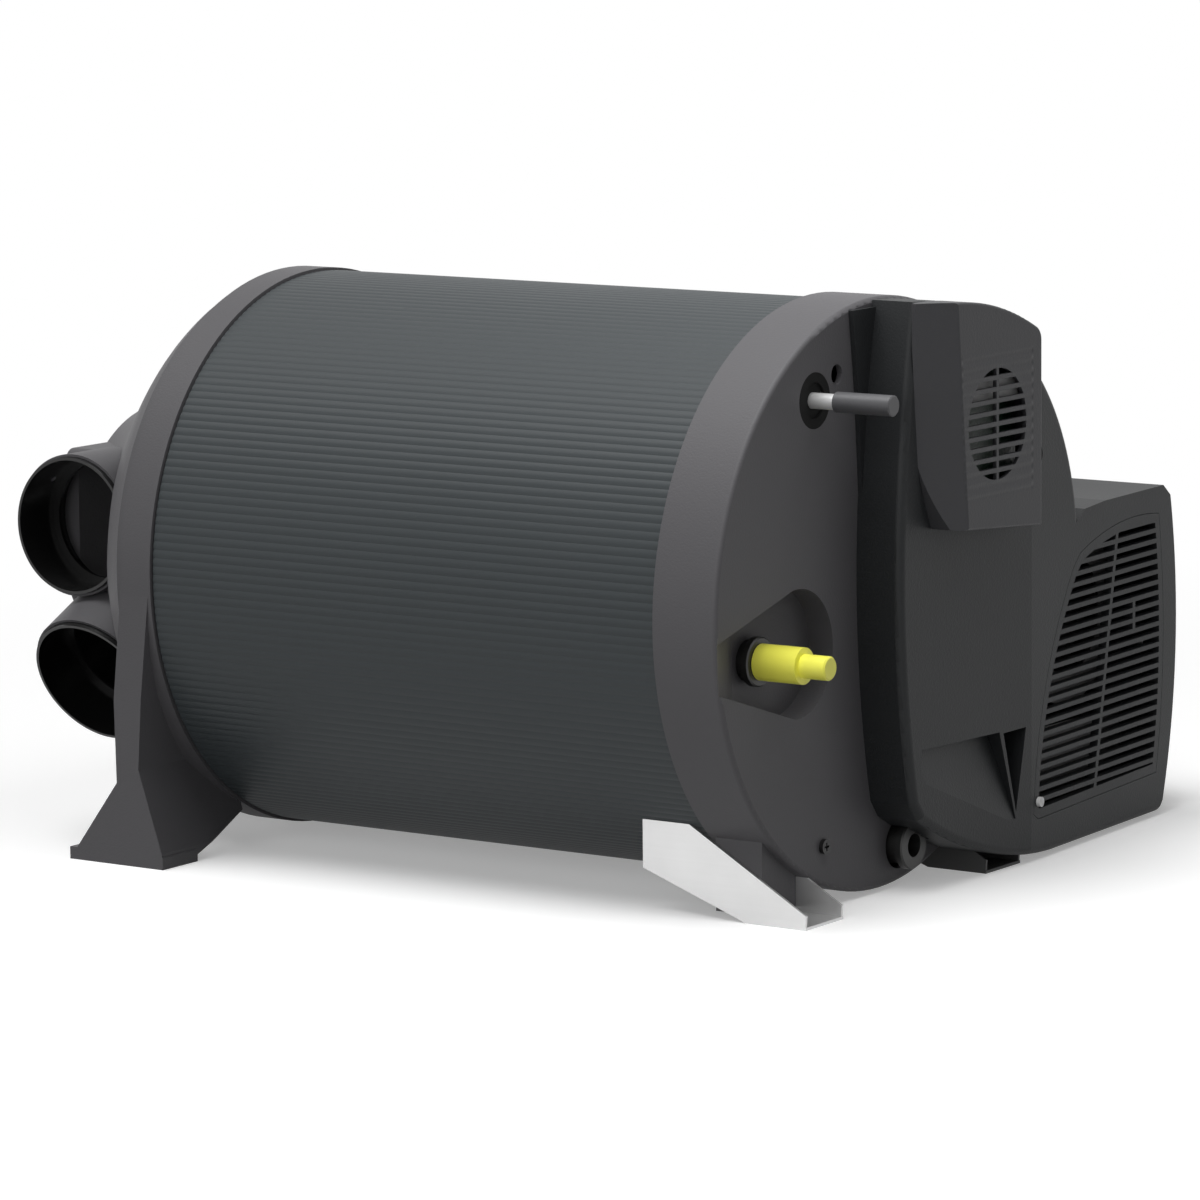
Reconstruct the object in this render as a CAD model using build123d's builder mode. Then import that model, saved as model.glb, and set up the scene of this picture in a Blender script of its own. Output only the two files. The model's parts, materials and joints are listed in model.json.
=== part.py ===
from build123d import *
from math import cos, radians, sin, sqrt, tan
import os

os.makedirs("parts", exist_ok=True)

# Frame: X runs along the drum, with x = 0 on the burner end's face and the outlets at minus X.
# Z is up from the floor, and y = 0 is the drum's axis. The control side, which a user faces, is minus Y.

# Driving dimensions of the drum, in millimetres
axis_height = 151
jacket_radius = 146
jacket_wall = 1.4
drum_length = 366.5
burner_cover_radius = 149
burner_band_width = 36.4
outlet_cover_radius = 147.3
outlet_band_width = 19
cover_wall = 3
plate_thickness = 2
band_gap = 1
slide_clearance = 0.3
running_clearance = 0.08
overrun = 2

# Driving dimensions of the heater inside the drum
tank_radius = 120
tank_bore_radius = 84
tank_wall = 1
tank_end_rooms = 104.5
tank_length = drum_length - tank_end_rooms
tank_end_gap = 6
exchanger_radius = 40
exchanger_wall = 5
exchanger_end_rooms = 96.5
exchanger_length = drum_length - exchanger_end_rooms
end_plate_depth = 49

# Driving dimensions of the housing, the grille box and the flue
housing_depth = 26
housing_wall = 2.5
housing_radius = 148
housing_neck_radius = housing_radius + 11
box_width = 262
box_height = 178
box_depth = 120
electronics_depth = 18
face_slant = 3.8
flue_reach = box_width + 41
flue_x = -52
flue_z = 50

# Driving dimensions of the warm air outlets
outlet_radius = 36
outlet_bore_radius = 34.5
outlet_reach = 110
outlet_tilt = 27
upper_outlet_x = -430
upper_outlet_z = 168.3
lower_outlet_x = -417
lower_outlet_z = 86.6

# Driving dimensions of the feet
leg_face_y = 147
foot_depth = 29
foot_thickness = 6.5
bracket_centre_y = 85
bracket_width = 34
bracket_sheet = 1.5
floor_hole_radius = 2.75

# Screws
screw_radius = 2
screw_clearance = 0.1
screw_head_radius = 3.8
screw_head_height = 2.2
recess_width_share = 0.28
recess_arm_share = 1.1
recess_depth_share = 0.6


def save(builder, node):
    """Label a finished piece and write it under its node's name."""
    builder.part.label = node
    export_step(builder.part, "parts/" + node + ".step")


def across(x, y=0, z=axis_height):
    """The plane that faces plus X, with its x along Y and its y along Z."""
    return Plane(origin=(x, y, z), x_dir=(0, 1, 0), z_dir=(1, 0, 0))


def section(x):
    """The plane across the drum at x, whose own x and y are the frame's y and z."""
    return across(x, 0, 0)


def sideways(side, x, y, z):
    """The plane that faces away from the drum's axis, on the control side for -1 and the far side for 1."""
    return Plane(origin=(x, side * y, z), x_dir=(-side, 0, 0), z_dir=(0, side, 0))


def tube(x_start, x_end, outer, inner, y=0, z=axis_height):
    """A plain tube along X, or a rod where the inner radius is zero."""
    with BuildPart() as body:
        with BuildSketch(across(x_start, y, z)):
            Circle(outer)
            if inner > 0:
                Circle(inner, mode=Mode.SUBTRACT)
        extrude(amount=x_end - x_start)
    return body


def screws(places, length):
    """A group of cross-head screws, each with its head standing on its own plane."""
    with BuildPart() as group:
        for place in places:
            with BuildSketch(place):
                Circle(screw_head_radius)
            extrude(amount=screw_head_height)
            with BuildSketch(place):
                Circle(screw_radius)
            extrude(amount=-length)
            with BuildSketch(place.offset(screw_head_height)):
                Rectangle(screw_head_radius * recess_arm_share, screw_head_radius * recess_width_share)
                Rectangle(screw_head_radius * recess_width_share, screw_head_radius * recess_arm_share)
            extrude(amount=-screw_head_height * recess_depth_share, mode=Mode.SUBTRACT)
    return group


def sized(shares, width, height):
    """An outline's points, from shares of the width and height that they follow."""
    return [(y * width, z * height) for y, z in shares]


# Outer jacket: a thin tube whose burner end is tucked under the burner cover's band
jacket_tuck = 3
jacket_start = outlet_band_width - drum_length + band_gap
jacket_end = jacket_tuck - burner_band_width
outer_jacket = tube(jacket_start, jacket_end, jacket_radius, jacket_radius - jacket_wall)
save(outer_jacket, "outer_jacket")

# Places that several pieces share: screws through the covers, the probe, the tank's two end rings
cover_screw_places = [(-54, -119), (62, 98), (118, -30)]
cover_boss_radius = 6
outlet_screw_circle = 136.5
outlet_screw_count = 3
outlet_boss_radius = 5
probe_radius = 3
probe_place = (-72, -72)
tank_start = -end_plate_depth - plate_thickness - tank_end_gap - tank_length
tank_end = tank_start + tank_length

# Water tank: two stainless shells closed by a ring at each end, the burner end's ring with the probe's hole
tank_outer_shell = tube(tank_start, tank_end, tank_radius, tank_radius - tank_wall)
save(tank_outer_shell, "tank_outer_shell")
tank_inner_shell = tube(tank_start, tank_end, tank_bore_radius + tank_wall, tank_bore_radius)
save(tank_inner_shell, "tank_inner_shell")
with BuildPart() as tank_end_rings:
    for ring_x in (tank_start, tank_end - plate_thickness):
        with BuildSketch(across(ring_x)):
            Circle(tank_radius - tank_wall)
            Circle(tank_bore_radius + tank_wall, mode=Mode.SUBTRACT)
            with Locations(probe_place):
                Circle(probe_radius + screw_clearance, mode=Mode.SUBTRACT)
        extrude(amount=plate_thickness)
save(tank_end_rings, "tank_end_rings")

# Insulation: two foam half shells that fill the space between the tank and the jacket
foam_radius = jacket_radius - jacket_wall - slide_clearance


def foam_half(side):
    """The upper half shell for side 1, the lower one for side -1."""
    with BuildPart() as half:
        with BuildSketch(across(tank_start)):
            Circle(foam_radius)
            Circle(tank_radius + slide_clearance, mode=Mode.SUBTRACT)
            with Locations((0, -side * foam_radius)):
                Rectangle(2 * foam_radius, 2 * foam_radius, mode=Mode.SUBTRACT)
        extrude(amount=tank_length)
    return half


insulation_upper = foam_half(1)
save(insulation_upper, "insulation_upper")
insulation_lower = foam_half(-1)
save(insulation_lower, "insulation_lower")

# Bulkheads: a steel plate at each end of the tank, open in the middle for the heat exchanger and its air
plate_radius = foam_radius
window_count = 12
window_radius = 6
window_circle_radius = 73
burner_plate_start = -end_plate_depth - plate_thickness
with BuildPart() as burner_end_plate:
    with BuildSketch(across(burner_plate_start)):
        Circle(plate_radius)
        Circle(exchanger_radius + slide_clearance, mode=Mode.SUBTRACT)
        with PolarLocations(window_circle_radius, window_count):
            Circle(window_radius, mode=Mode.SUBTRACT)
        with Locations(*cover_screw_places):
            Circle(screw_radius + screw_clearance, mode=Mode.SUBTRACT)
        with Locations(probe_place):
            Circle(probe_radius + screw_clearance, mode=Mode.SUBTRACT)
    extrude(amount=plate_thickness)
save(burner_end_plate, "burner_end_plate")

outlet_plate_start = tank_start - tank_end_gap - plate_thickness
with BuildPart() as outlet_end_plate:
    with BuildSketch(across(outlet_plate_start)):
        Circle(plate_radius)
        Circle(tank_bore_radius, mode=Mode.SUBTRACT)
        with PolarLocations(outlet_screw_circle, outlet_screw_count):
            Circle(screw_radius + screw_clearance, mode=Mode.SUBTRACT)
    extrude(amount=plate_thickness)
save(outlet_end_plate, "outlet_end_plate")

# Tank spacers: rubber blocks that hold the tank off both bulkheads
spacer_count = 6
spacer_size = 14
spacer_radius = (tank_radius + tank_bore_radius) / 2
with BuildPart() as tank_spacers:
    for spacer_x in (outlet_plate_start + plate_thickness, tank_end):
        with BuildSketch(across(spacer_x)):
            with PolarLocations(spacer_radius, spacer_count):
                Rectangle(spacer_size, spacer_size)
        extrude(amount=tank_end_gap)
save(tank_spacers, "tank_spacers")

# Heat exchanger: a cast finned tube, shut at the outlet end, with a flange and an open head at the burner end
fin_count = 28
fin_thickness = 3
fin_radius = 80
fin_end_gap = 14
exchanger_flange_radius = 62
exchanger_flange_thickness = 4
exchanger_head_depth = 7
duct_x = -18.5
duct_angle = 45
duct_wall = 1.5
exhaust_duct_depth = 18
exhaust_duct_height = 30
exchanger_start = -end_plate_depth - exchanger_length
fin_length = exchanger_length - 2 * fin_end_gap
duct_slope = radians(duct_angle)
duct_port = Plane(
    origin=(duct_x, 0, axis_height),
    x_dir=(1, 0, 0),
    z_dir=(0, cos(duct_slope), -sin(duct_slope)),
)
with BuildPart() as heat_exchanger:
    with BuildSketch(across(exchanger_start)):
        Circle(exchanger_radius)
    extrude(amount=-exchanger_head_depth - exchanger_start)
    with BuildSketch(across(exchanger_start + fin_end_gap)):
        with PolarLocations(fin_radius / 2, fin_count):
            Rectangle(fin_radius, fin_thickness)
    extrude(amount=fin_length)
    with BuildSketch(across(-end_plate_depth)):
        Circle(exchanger_flange_radius)
    extrude(amount=exchanger_flange_thickness)
    with BuildSketch(across(exchanger_start + exchanger_wall)):
        Circle(exchanger_radius - exchanger_wall)
    extrude(amount=exchanger_length + end_plate_depth, mode=Mode.SUBTRACT)
    with BuildSketch(duct_port):
        Rectangle(exhaust_duct_depth - 2 * duct_wall, exhaust_duct_height - 2 * duct_wall)
    extrude(amount=exchanger_radius + overrun, mode=Mode.SUBTRACT)
save(heat_exchanger, "heat_exchanger")

# Burner: a perforated tube on a round flange that shuts the exchanger's head
burner_tube_radius = 22
burner_tube_wall = 1.5
burner_tube_length = 130
burner_flange_radius = 41.5
burner_flange_thickness = 3
burner_hole_radius = 2
burner_hole_rows = 8
burner_hole_pitch = 12
burner_hole_count = 10
burner_hole_start = 30
mixture_port_radius = 6
mixture_port_place = (14, -2)
electrode_radius = 1.5
electrode_sleeve_radius = 3
electrode_sleeve_length = 22
electrode_length = 40
electrode_tip = 4
electrode_places = [(-27, 16), (-27, 4), (-27, -12)]
burner_flange_start = -exchanger_head_depth
with BuildPart() as burner_flange:
    with BuildSketch(across(burner_flange_start)):
        Circle(burner_flange_radius)
        with Locations(mixture_port_place):
            Circle(mixture_port_radius, mode=Mode.SUBTRACT)
        with Locations(*electrode_places):
            Circle(electrode_sleeve_radius + screw_clearance, mode=Mode.SUBTRACT)
    extrude(amount=burner_flange_thickness)
save(burner_flange, "burner_flange")

burner_holes_x = burner_flange_start - burner_hole_start - burner_hole_pitch * burner_hole_count / 2
with BuildPart() as burner_tube:
    with BuildSketch(across(burner_flange_start - burner_tube_length)):
        Circle(burner_tube_radius)
    extrude(amount=burner_tube_length)
    with BuildSketch(across(burner_flange_start - burner_tube_length + burner_tube_wall)):
        Circle(burner_tube_radius - burner_tube_wall)
    extrude(amount=burner_tube_length, mode=Mode.SUBTRACT)
    for row in range(burner_hole_rows):
        angle = row * 180 / burner_hole_rows
        with BuildSketch(Plane.XY.offset(axis_height - burner_tube_radius - overrun)):
            with Locations((burner_holes_x, 0)):
                with GridLocations(burner_hole_pitch, 1, burner_hole_count, 1):
                    Circle(burner_hole_radius)
        pins = extrude(amount=2 * (burner_tube_radius + overrun), mode=Mode.PRIVATE)
        axis_line = Axis((0, 0, axis_height), (1, 0, 0))
        add(pins.rotate(axis_line, angle), mode=Mode.SUBTRACT)
save(burner_tube, "burner_tube")

with BuildPart() as ignition_electrodes:
    for place in electrode_places:
        with BuildSketch(across(burner_flange_start - electrode_sleeve_length)):
            with Locations(place):
                Circle(electrode_sleeve_radius)
        extrude(amount=electrode_sleeve_length + burner_flange_thickness)
        with BuildSketch(across(burner_flange_start - electrode_length)):
            with Locations(place):
                Circle(electrode_radius)
        extrude(amount=electrode_length)
        with BuildSketch(across(burner_flange_start - electrode_length)):
            with Locations((place[0] + electrode_tip / 2, place[1])):
                Rectangle(electrode_tip, 2 * electrode_radius)
        extrude(amount=2 * electrode_radius)
save(ignition_electrodes, "ignition_electrodes")

# Flue ducts: flat ducts from the exchanger's head to the flue box, the exhaust inside the combustion air
duct_high_z = 68
duct_low_z = 39
duct_level_length = 29
air_duct_depth = 28
air_duct_height = 40
flue_box_inner_y = box_width - 14
flue_wall = 2
spigot_box_gap = 4
duct_corner_y = (axis_height - duct_high_z) / tan(duct_slope)
duct_step_y = duct_corner_y + duct_level_length
duct_foot_y = duct_step_y + (duct_high_z - duct_low_z) / tan(duct_slope)


def duct(depth, height, start, end):
    """A flat duct from radius start off the drum's axis, down in two slopes, then out to y = end."""
    route_start = (start * cos(duct_slope) / 2, axis_height - start * sin(duct_slope) / 2)
    with BuildPart() as body:
        for inset, mode in ((0, Mode.ADD), (duct_wall, Mode.SUBTRACT)):
            with BuildSketch(section(duct_x - depth / 2 + inset)):
                with BuildLine():
                    Polyline(
                        route_start,
                        (duct_corner_y, duct_high_z),
                        (duct_step_y, duct_high_z),
                        (duct_foot_y, duct_low_z),
                        (end, duct_low_z),
                    )
                trace(line_width=height - 2 * inset)
            extrude(amount=depth - 2 * inset, mode=mode)
        with BuildSketch(across(duct_x - depth / 2)):
            Circle(start)
        extrude(amount=depth, mode=Mode.SUBTRACT)
    return body


air_duct_end = flue_box_inner_y - slide_clearance
exhaust_duct_end = flue_box_inner_y + flue_wall + spigot_box_gap - slide_clearance
exhaust_duct_start = exchanger_radius + slide_clearance
exhaust_duct = duct(exhaust_duct_depth, exhaust_duct_height, exhaust_duct_start, exhaust_duct_end)
save(exhaust_duct, "exhaust_duct")
combustion_air_duct = duct(air_duct_depth, air_duct_height, burner_flange_radius + band_gap, air_duct_end)
save(combustion_air_duct, "combustion_air_duct")

# Flue box: a flat box let into the housing's far wall, with the air collar and the exhaust spigot on it
flue_box_start_x = -95
flue_box_end_x = -4
flue_box_low_z = 8
flue_box_high_z = 92
flue_box_outer_y = box_width + 20
exhaust_spigot_radius = 27.5
exhaust_spigot_bore = 26
exhaust_spigot_step = 1
exhaust_spigot_reach = 16
collar_radius = 39
collar_wall = 2
collar_flange_width = 4
spigot_box_start_x = -82
spigot_box_end_x = -7
spigot_box_low_z = 20
spigot_box_high_z = 80
spigot_box_depth = 20
seal_inset = 19
seal_width = 3
seal_height = 1.4
flue_mid_x = (flue_box_start_x + flue_box_end_x) / 2
flue_mid_z = (flue_box_low_z + flue_box_high_z) / 2
flue_box_width = flue_box_end_x - flue_box_start_x
flue_box_height = flue_box_high_z - flue_box_low_z
spigot_box_y = flue_box_inner_y + flue_wall + spigot_box_gap
with BuildPart() as flue_box:
    with BuildSketch(sideways(1, flue_mid_x, flue_box_inner_y, flue_mid_z)):
        Rectangle(flue_box_width, flue_box_height)
    extrude(amount=flue_box_outer_y - flue_box_inner_y)
    fillet(flue_box.edges().filter_by(Axis.Y), spigot_box_gap)
    with BuildSketch(sideways(1, flue_mid_x, flue_box_inner_y + flue_wall, flue_mid_z)):
        Rectangle(flue_box_width - 2 * flue_wall, flue_box_height - 2 * flue_wall)
    extrude(amount=flue_box_outer_y - flue_box_inner_y - 2 * flue_wall, mode=Mode.SUBTRACT)
    with BuildSketch(sideways(1, duct_x, flue_box_inner_y - overrun, duct_low_z)):
        Rectangle(air_duct_depth - 2 * duct_wall, air_duct_height - 2 * duct_wall)
    extrude(amount=flue_wall + 2 * overrun, mode=Mode.SUBTRACT)
    with BuildSketch(sideways(1, flue_x, flue_box_outer_y + overrun, flue_z)):
        Circle(collar_radius - collar_wall)
    extrude(amount=-flue_wall - 2 * overrun, mode=Mode.SUBTRACT)
save(flue_box, "flue_box")

with BuildPart() as combustion_air_collar:
    with BuildSketch(sideways(1, flue_x, flue_box_outer_y, flue_z)):
        Circle(collar_radius)
        Circle(collar_radius - collar_wall, mode=Mode.SUBTRACT)
    extrude(amount=flue_reach - flue_box_outer_y)
    with BuildSketch(sideways(1, flue_x, flue_box_outer_y, flue_z)):
        Circle(collar_radius + collar_flange_width / 2)
        Circle(collar_radius - collar_wall, mode=Mode.SUBTRACT)
    extrude(amount=collar_wall)
save(combustion_air_collar, "combustion_air_collar")

spigot_mid_x = (spigot_box_start_x + spigot_box_end_x) / 2
spigot_mid_z = (spigot_box_low_z + spigot_box_high_z) / 2
spigot_box_width = spigot_box_end_x - spigot_box_start_x
spigot_box_height = spigot_box_high_z - spigot_box_low_z
with BuildPart() as exhaust_spigot:
    with BuildSketch(sideways(1, spigot_mid_x, spigot_box_y, spigot_mid_z)):
        Rectangle(spigot_box_width, spigot_box_height)
    extrude(amount=spigot_box_depth)
    with BuildSketch(sideways(1, flue_x, spigot_box_y, flue_z)):
        Circle(exhaust_spigot_radius + exhaust_spigot_step)
    extrude(amount=flue_reach - exhaust_spigot_reach - spigot_box_y)
    with BuildSketch(sideways(1, flue_x, flue_reach - exhaust_spigot_reach, flue_z)):
        Circle(exhaust_spigot_radius)
    extrude(amount=exhaust_spigot_reach)
    with BuildSketch(sideways(1, spigot_mid_x, spigot_box_y + duct_wall, spigot_mid_z)):
        Rectangle(spigot_box_width - 2 * duct_wall, spigot_box_height - 2 * duct_wall)
    extrude(amount=spigot_box_depth - 2 * duct_wall, mode=Mode.SUBTRACT)
    with BuildSketch(sideways(1, flue_x, spigot_box_y + duct_wall, flue_z)):
        Circle(exhaust_spigot_bore)
    extrude(amount=flue_reach - spigot_box_y, mode=Mode.SUBTRACT)
    with BuildSketch(sideways(1, duct_x, spigot_box_y - overrun, duct_low_z)):
        Rectangle(exhaust_duct_depth - 2 * duct_wall, exhaust_duct_height - 2 * duct_wall)
    extrude(amount=duct_wall + 2 * overrun, mode=Mode.SUBTRACT)
save(exhaust_spigot, "exhaust_spigot")

with BuildPart() as exhaust_seal_ring:
    with BuildSketch(sideways(1, flue_x, flue_reach - seal_inset, flue_z)):
        Circle(exhaust_spigot_radius + exhaust_spigot_step + seal_height)
        Circle(exhaust_spigot_radius + exhaust_spigot_step + running_clearance, mode=Mode.SUBTRACT)
    extrude(amount=seal_width)
save(exhaust_seal_ring, "exhaust_seal_ring")

# Combustion fan: a flat blower on the burner's flange, with its motor on the front
fan_place = (42, -11)
fan_housing_radius = 37
fan_wall = 1.5
fan_front = 12
fan_impeller_radius = 31
fan_impeller_start = -1
fan_vane_depth = 8
fan_vane_count = 12
fan_vane_length = 20
fan_hub_radius = 5
fan_shaft_radius = 2
fan_motor_radius = 16
fan_motor_depth = 10
fan_shaft_reach = 7
fan_y = fan_place[0]
fan_z = axis_height + fan_place[1]
fan_start = burner_flange_start + burner_flange_thickness
with BuildPart() as combustion_fan_housing:
    with BuildSketch(across(fan_start, fan_y, fan_z)):
        Circle(fan_housing_radius)
    extrude(amount=fan_front - fan_start)
    with BuildSketch(across(fan_start + fan_wall, fan_y, fan_z)):
        Circle(fan_housing_radius - fan_wall)
    extrude(amount=fan_front - fan_start - 2 * fan_wall, mode=Mode.SUBTRACT)
    with BuildSketch(across(fan_start - overrun)):
        with Locations(mixture_port_place):
            Circle(mixture_port_radius)
    extrude(amount=fan_wall + 2 * overrun, mode=Mode.SUBTRACT)
    with BuildSketch(across(fan_front + overrun, fan_y, fan_z)):
        Circle(fan_shaft_radius + slide_clearance)
    extrude(amount=-fan_wall - 2 * overrun, mode=Mode.SUBTRACT)
save(combustion_fan_housing, "combustion_fan_housing")

with BuildPart() as combustion_fan_impeller:
    with BuildSketch(across(fan_impeller_start, fan_y, fan_z)):
        Circle(fan_impeller_radius)
    extrude(amount=fan_wall)
    with BuildSketch(across(fan_impeller_start, fan_y, fan_z)):
        with PolarLocations(fan_impeller_radius - fan_vane_length / 2 - fan_wall, fan_vane_count):
            Rectangle(fan_vane_length, fan_wall, rotation=duct_angle / 2)
    extrude(amount=fan_vane_depth)
    with BuildSketch(across(fan_impeller_start, fan_y, fan_z)):
        Circle(fan_hub_radius)
    extrude(amount=fan_vane_depth)
    with BuildSketch(across(fan_impeller_start, fan_y, fan_z)):
        Circle(fan_shaft_radius)
    extrude(amount=fan_front + fan_shaft_reach - fan_impeller_start)
save(combustion_fan_impeller, "combustion_fan_impeller")

with BuildPart() as combustion_fan_motor:
    with BuildSketch(across(fan_front, fan_y, fan_z)):
        Circle(fan_motor_radius)
    extrude(amount=fan_motor_depth)
    with BuildSketch(across(fan_front, fan_y, fan_z)):
        Circle(fan_shaft_radius + running_clearance)
    extrude(amount=fan_shaft_reach + slide_clearance, mode=Mode.SUBTRACT)
    fillet(combustion_fan_motor.faces().sort_by(Axis.X)[-1].edges(), fan_wall)
save(combustion_fan_motor, "combustion_fan_motor")

# Circulation fan: a drum blower behind the intake grille, blowing through the cover's side into the drum
blower_y = 203
blower_z = 114
blower_start = -32
blower_end = -10
blower_radius = 48
blower_wall = 1.5
blower_outlet_y = 140
blower_outlet_height = 26
blower_inlet_radius = 32
wheel_radius = 42
wheel_vane_depth = 8
wheel_vane_count = 30
wheel_vane_start = 4
wheel_plate_gap = 2
wheel_hub_radius = 8
blower_shaft_radius = 3
blower_shaft_reach = 16
blower_motor_radius = 24
blower_motor_length = 22
blower_outlet_z = blower_z + blower_radius - blower_outlet_height / 2
with BuildPart() as circulation_fan_housing:
    with BuildSketch(section(blower_start)):
        with Locations((blower_y, blower_z)):
            Circle(blower_radius)
        with Locations(((blower_y + blower_outlet_y) / 2, blower_outlet_z)):
            Rectangle(blower_y - blower_outlet_y, blower_outlet_height)
    extrude(amount=blower_end - blower_start)
    with BuildSketch(section(blower_start + blower_wall)):
        with Locations((blower_y, blower_z)):
            Circle(blower_radius - blower_wall)
        with Locations(((blower_y + blower_outlet_y) / 2 - blower_wall, blower_outlet_z)):
            Rectangle(blower_y - blower_outlet_y + 2 * blower_wall, blower_outlet_height - 2 * blower_wall)
    extrude(amount=blower_end - blower_start - 2 * blower_wall, mode=Mode.SUBTRACT)
    with BuildSketch(section(blower_end + overrun)):
        with Locations((blower_y, blower_z)):
            Circle(blower_inlet_radius)
    extrude(amount=-blower_wall - 2 * overrun, mode=Mode.SUBTRACT)
    with BuildSketch(section(blower_start - overrun)):
        with Locations((blower_y, blower_z)):
            Circle(blower_shaft_radius + slide_clearance)
    extrude(amount=blower_wall + 2 * overrun, mode=Mode.SUBTRACT)
save(circulation_fan_housing, "circulation_fan_housing")

wheel_start = blower_start + blower_wall + wheel_plate_gap
wheel_end = blower_end - blower_wall - wheel_plate_gap
with BuildPart() as circulation_fan_impeller:
    with BuildSketch(across(wheel_start, blower_y, blower_z)):
        Circle(wheel_radius)
    extrude(amount=blower_wall)
    with BuildSketch(across(wheel_start, blower_y, blower_z)):
        with PolarLocations(wheel_radius - wheel_vane_depth / 2, wheel_vane_count):
            Rectangle(wheel_vane_depth, blower_wall, rotation=duct_angle / 2)
    extrude(amount=wheel_end - wheel_start)
    with BuildSketch(across(wheel_end - blower_wall, blower_y, blower_z)):
        Circle(wheel_radius)
        Circle(wheel_radius - wheel_vane_start, mode=Mode.SUBTRACT)
    extrude(amount=blower_wall)
    with BuildSketch(across(wheel_start, blower_y, blower_z)):
        Circle(wheel_hub_radius)
    extrude(amount=wheel_hub_radius)
    with BuildSketch(across(blower_start - blower_shaft_reach, blower_y, blower_z)):
        Circle(blower_shaft_radius)
    extrude(amount=blower_shaft_reach + wheel_hub_radius)
save(circulation_fan_impeller, "circulation_fan_impeller")

with BuildPart() as circulation_fan_motor:
    with BuildSketch(across(blower_start - blower_motor_length, blower_y, blower_z)):
        Circle(blower_motor_radius)
    extrude(amount=blower_motor_length)
    fillet(circulation_fan_motor.faces().sort_by(Axis.X)[0].edges(), blower_wall)
    with BuildSketch(across(blower_start, blower_y, blower_z)):
        Circle(blower_shaft_radius + running_clearance)
    extrude(amount=-blower_shaft_reach - slide_clearance, mode=Mode.SUBTRACT)
save(circulation_fan_motor, "circulation_fan_motor")

# Water connections: stubs held on the burner's bulkhead, the cold one in the cover's pocket
cold_place = (-100, 130)
hot_place = (17, 22)
stub_radius = 10
stub_bore = 6
stub_wall = 4
stub_collar_radius = 12.3
stub_collar_depth = 4
cold_stub_end = -6
hot_stub_end = 9


def water_stub(place, end):
    """A water connection: a barrel along X with a collar near its mouth and a blind bore."""
    barrel = tube(-end_plate_depth, end, stub_radius, 0, *place)
    with BuildPart() as body:
        add(barrel.part)
        with BuildSketch(across(end - stub_collar_depth, *place)):
            Circle(stub_collar_radius)
        extrude(amount=stub_collar_depth)
        chamfer(body.faces().sort_by(Axis.X)[-1].edges(), duct_wall / 2)
        with BuildSketch(across(end, *place)):
            Circle(stub_bore)
        extrude(amount=-(end + end_plate_depth - stub_wall), mode=Mode.SUBTRACT)
    return body


cold_water_connector = water_stub(cold_place, cold_stub_end)
save(cold_water_connector, "cold_water_connector")
hot_water_connector = water_stub(hot_place, hot_stub_end)
save(hot_water_connector, "hot_water_connector")

# Transport plug: a yellow push-in plug with an O-ring, pulled out along the stub's bore
plug_insert = 24
plug_body_radius = 9.1
plug_body_end = 19
plug_tip_radius = 6
plug_tip_end = 34
plug_chamfer = 0.8
groove_depth = 1.1
groove_width = 2.6
groove_inset = 8
plug_radius = stub_bore - running_clearance
groove_x = cold_stub_end - plug_insert + groove_inset
with BuildPart() as transport_plug:
    with BuildSketch(across(cold_stub_end - plug_insert, *cold_place)):
        Circle(plug_radius)
    extrude(amount=plug_insert + slide_clearance)
    with BuildSketch(across(cold_stub_end + slide_clearance, *cold_place)):
        Circle(plug_body_radius)
    extrude(amount=plug_body_end - cold_stub_end - slide_clearance)
    with BuildSketch(across(plug_body_end, *cold_place)):
        Circle(plug_tip_radius)
    extrude(amount=plug_tip_end - plug_body_end)
    chamfer(transport_plug.faces().sort_by(Axis.X)[-1].edges(), plug_chamfer)
    with BuildSketch(across(groove_x, *cold_place)):
        Circle(plug_body_radius)
        Circle(plug_radius - groove_depth, mode=Mode.SUBTRACT)
    extrude(amount=groove_width, mode=Mode.SUBTRACT)
save(transport_plug, "transport_plug")
plug_o_ring = tube(
    groove_x + running_clearance,
    groove_x + groove_width - running_clearance,
    plug_radius,
    plug_radius - groove_depth + running_clearance,
    *cold_place,
)
save(plug_o_ring, "plug_o_ring")

# Gas supply: a valve on the bulkhead, a steel pipe through a rubber grommet, and a transport cap on it
gas_place = (-60, 254)
gas_pipe_radius = 4
gas_pipe_bore = 3.2
gas_pipe_end = 30
gas_cap_start = 13
gas_cap_end = 45.5
gas_cap_radius = 5.2
gas_cap_chamfer = 0.6
grommet_radius = 14
grommet_lip = 1.5
grommet_inset = 5
valve_width = 36
valve_height = 32
valve_end = -14
valve_corner = 3
burner_pipe_radius = 3
burner_pipe_drop_y = 8
burner_pipe_bend = 12
burner_pipe_x = -30
with BuildPart() as gas_valve:
    with BuildSketch(across(-end_plate_depth, *gas_place)):
        RectangleRounded(valve_width, valve_height, valve_corner)
    extrude(amount=end_plate_depth + valve_end)
    with BuildSketch(across(valve_end, *gas_place)):
        Circle(gas_pipe_radius + screw_clearance)
    extrude(amount=-valve_corner, mode=Mode.SUBTRACT)
save(gas_valve, "gas_valve")
gas_pipe = tube(valve_end - valve_corner, gas_pipe_end, gas_pipe_radius, gas_pipe_bore, *gas_place)
save(gas_pipe, "gas_pipe")

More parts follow.
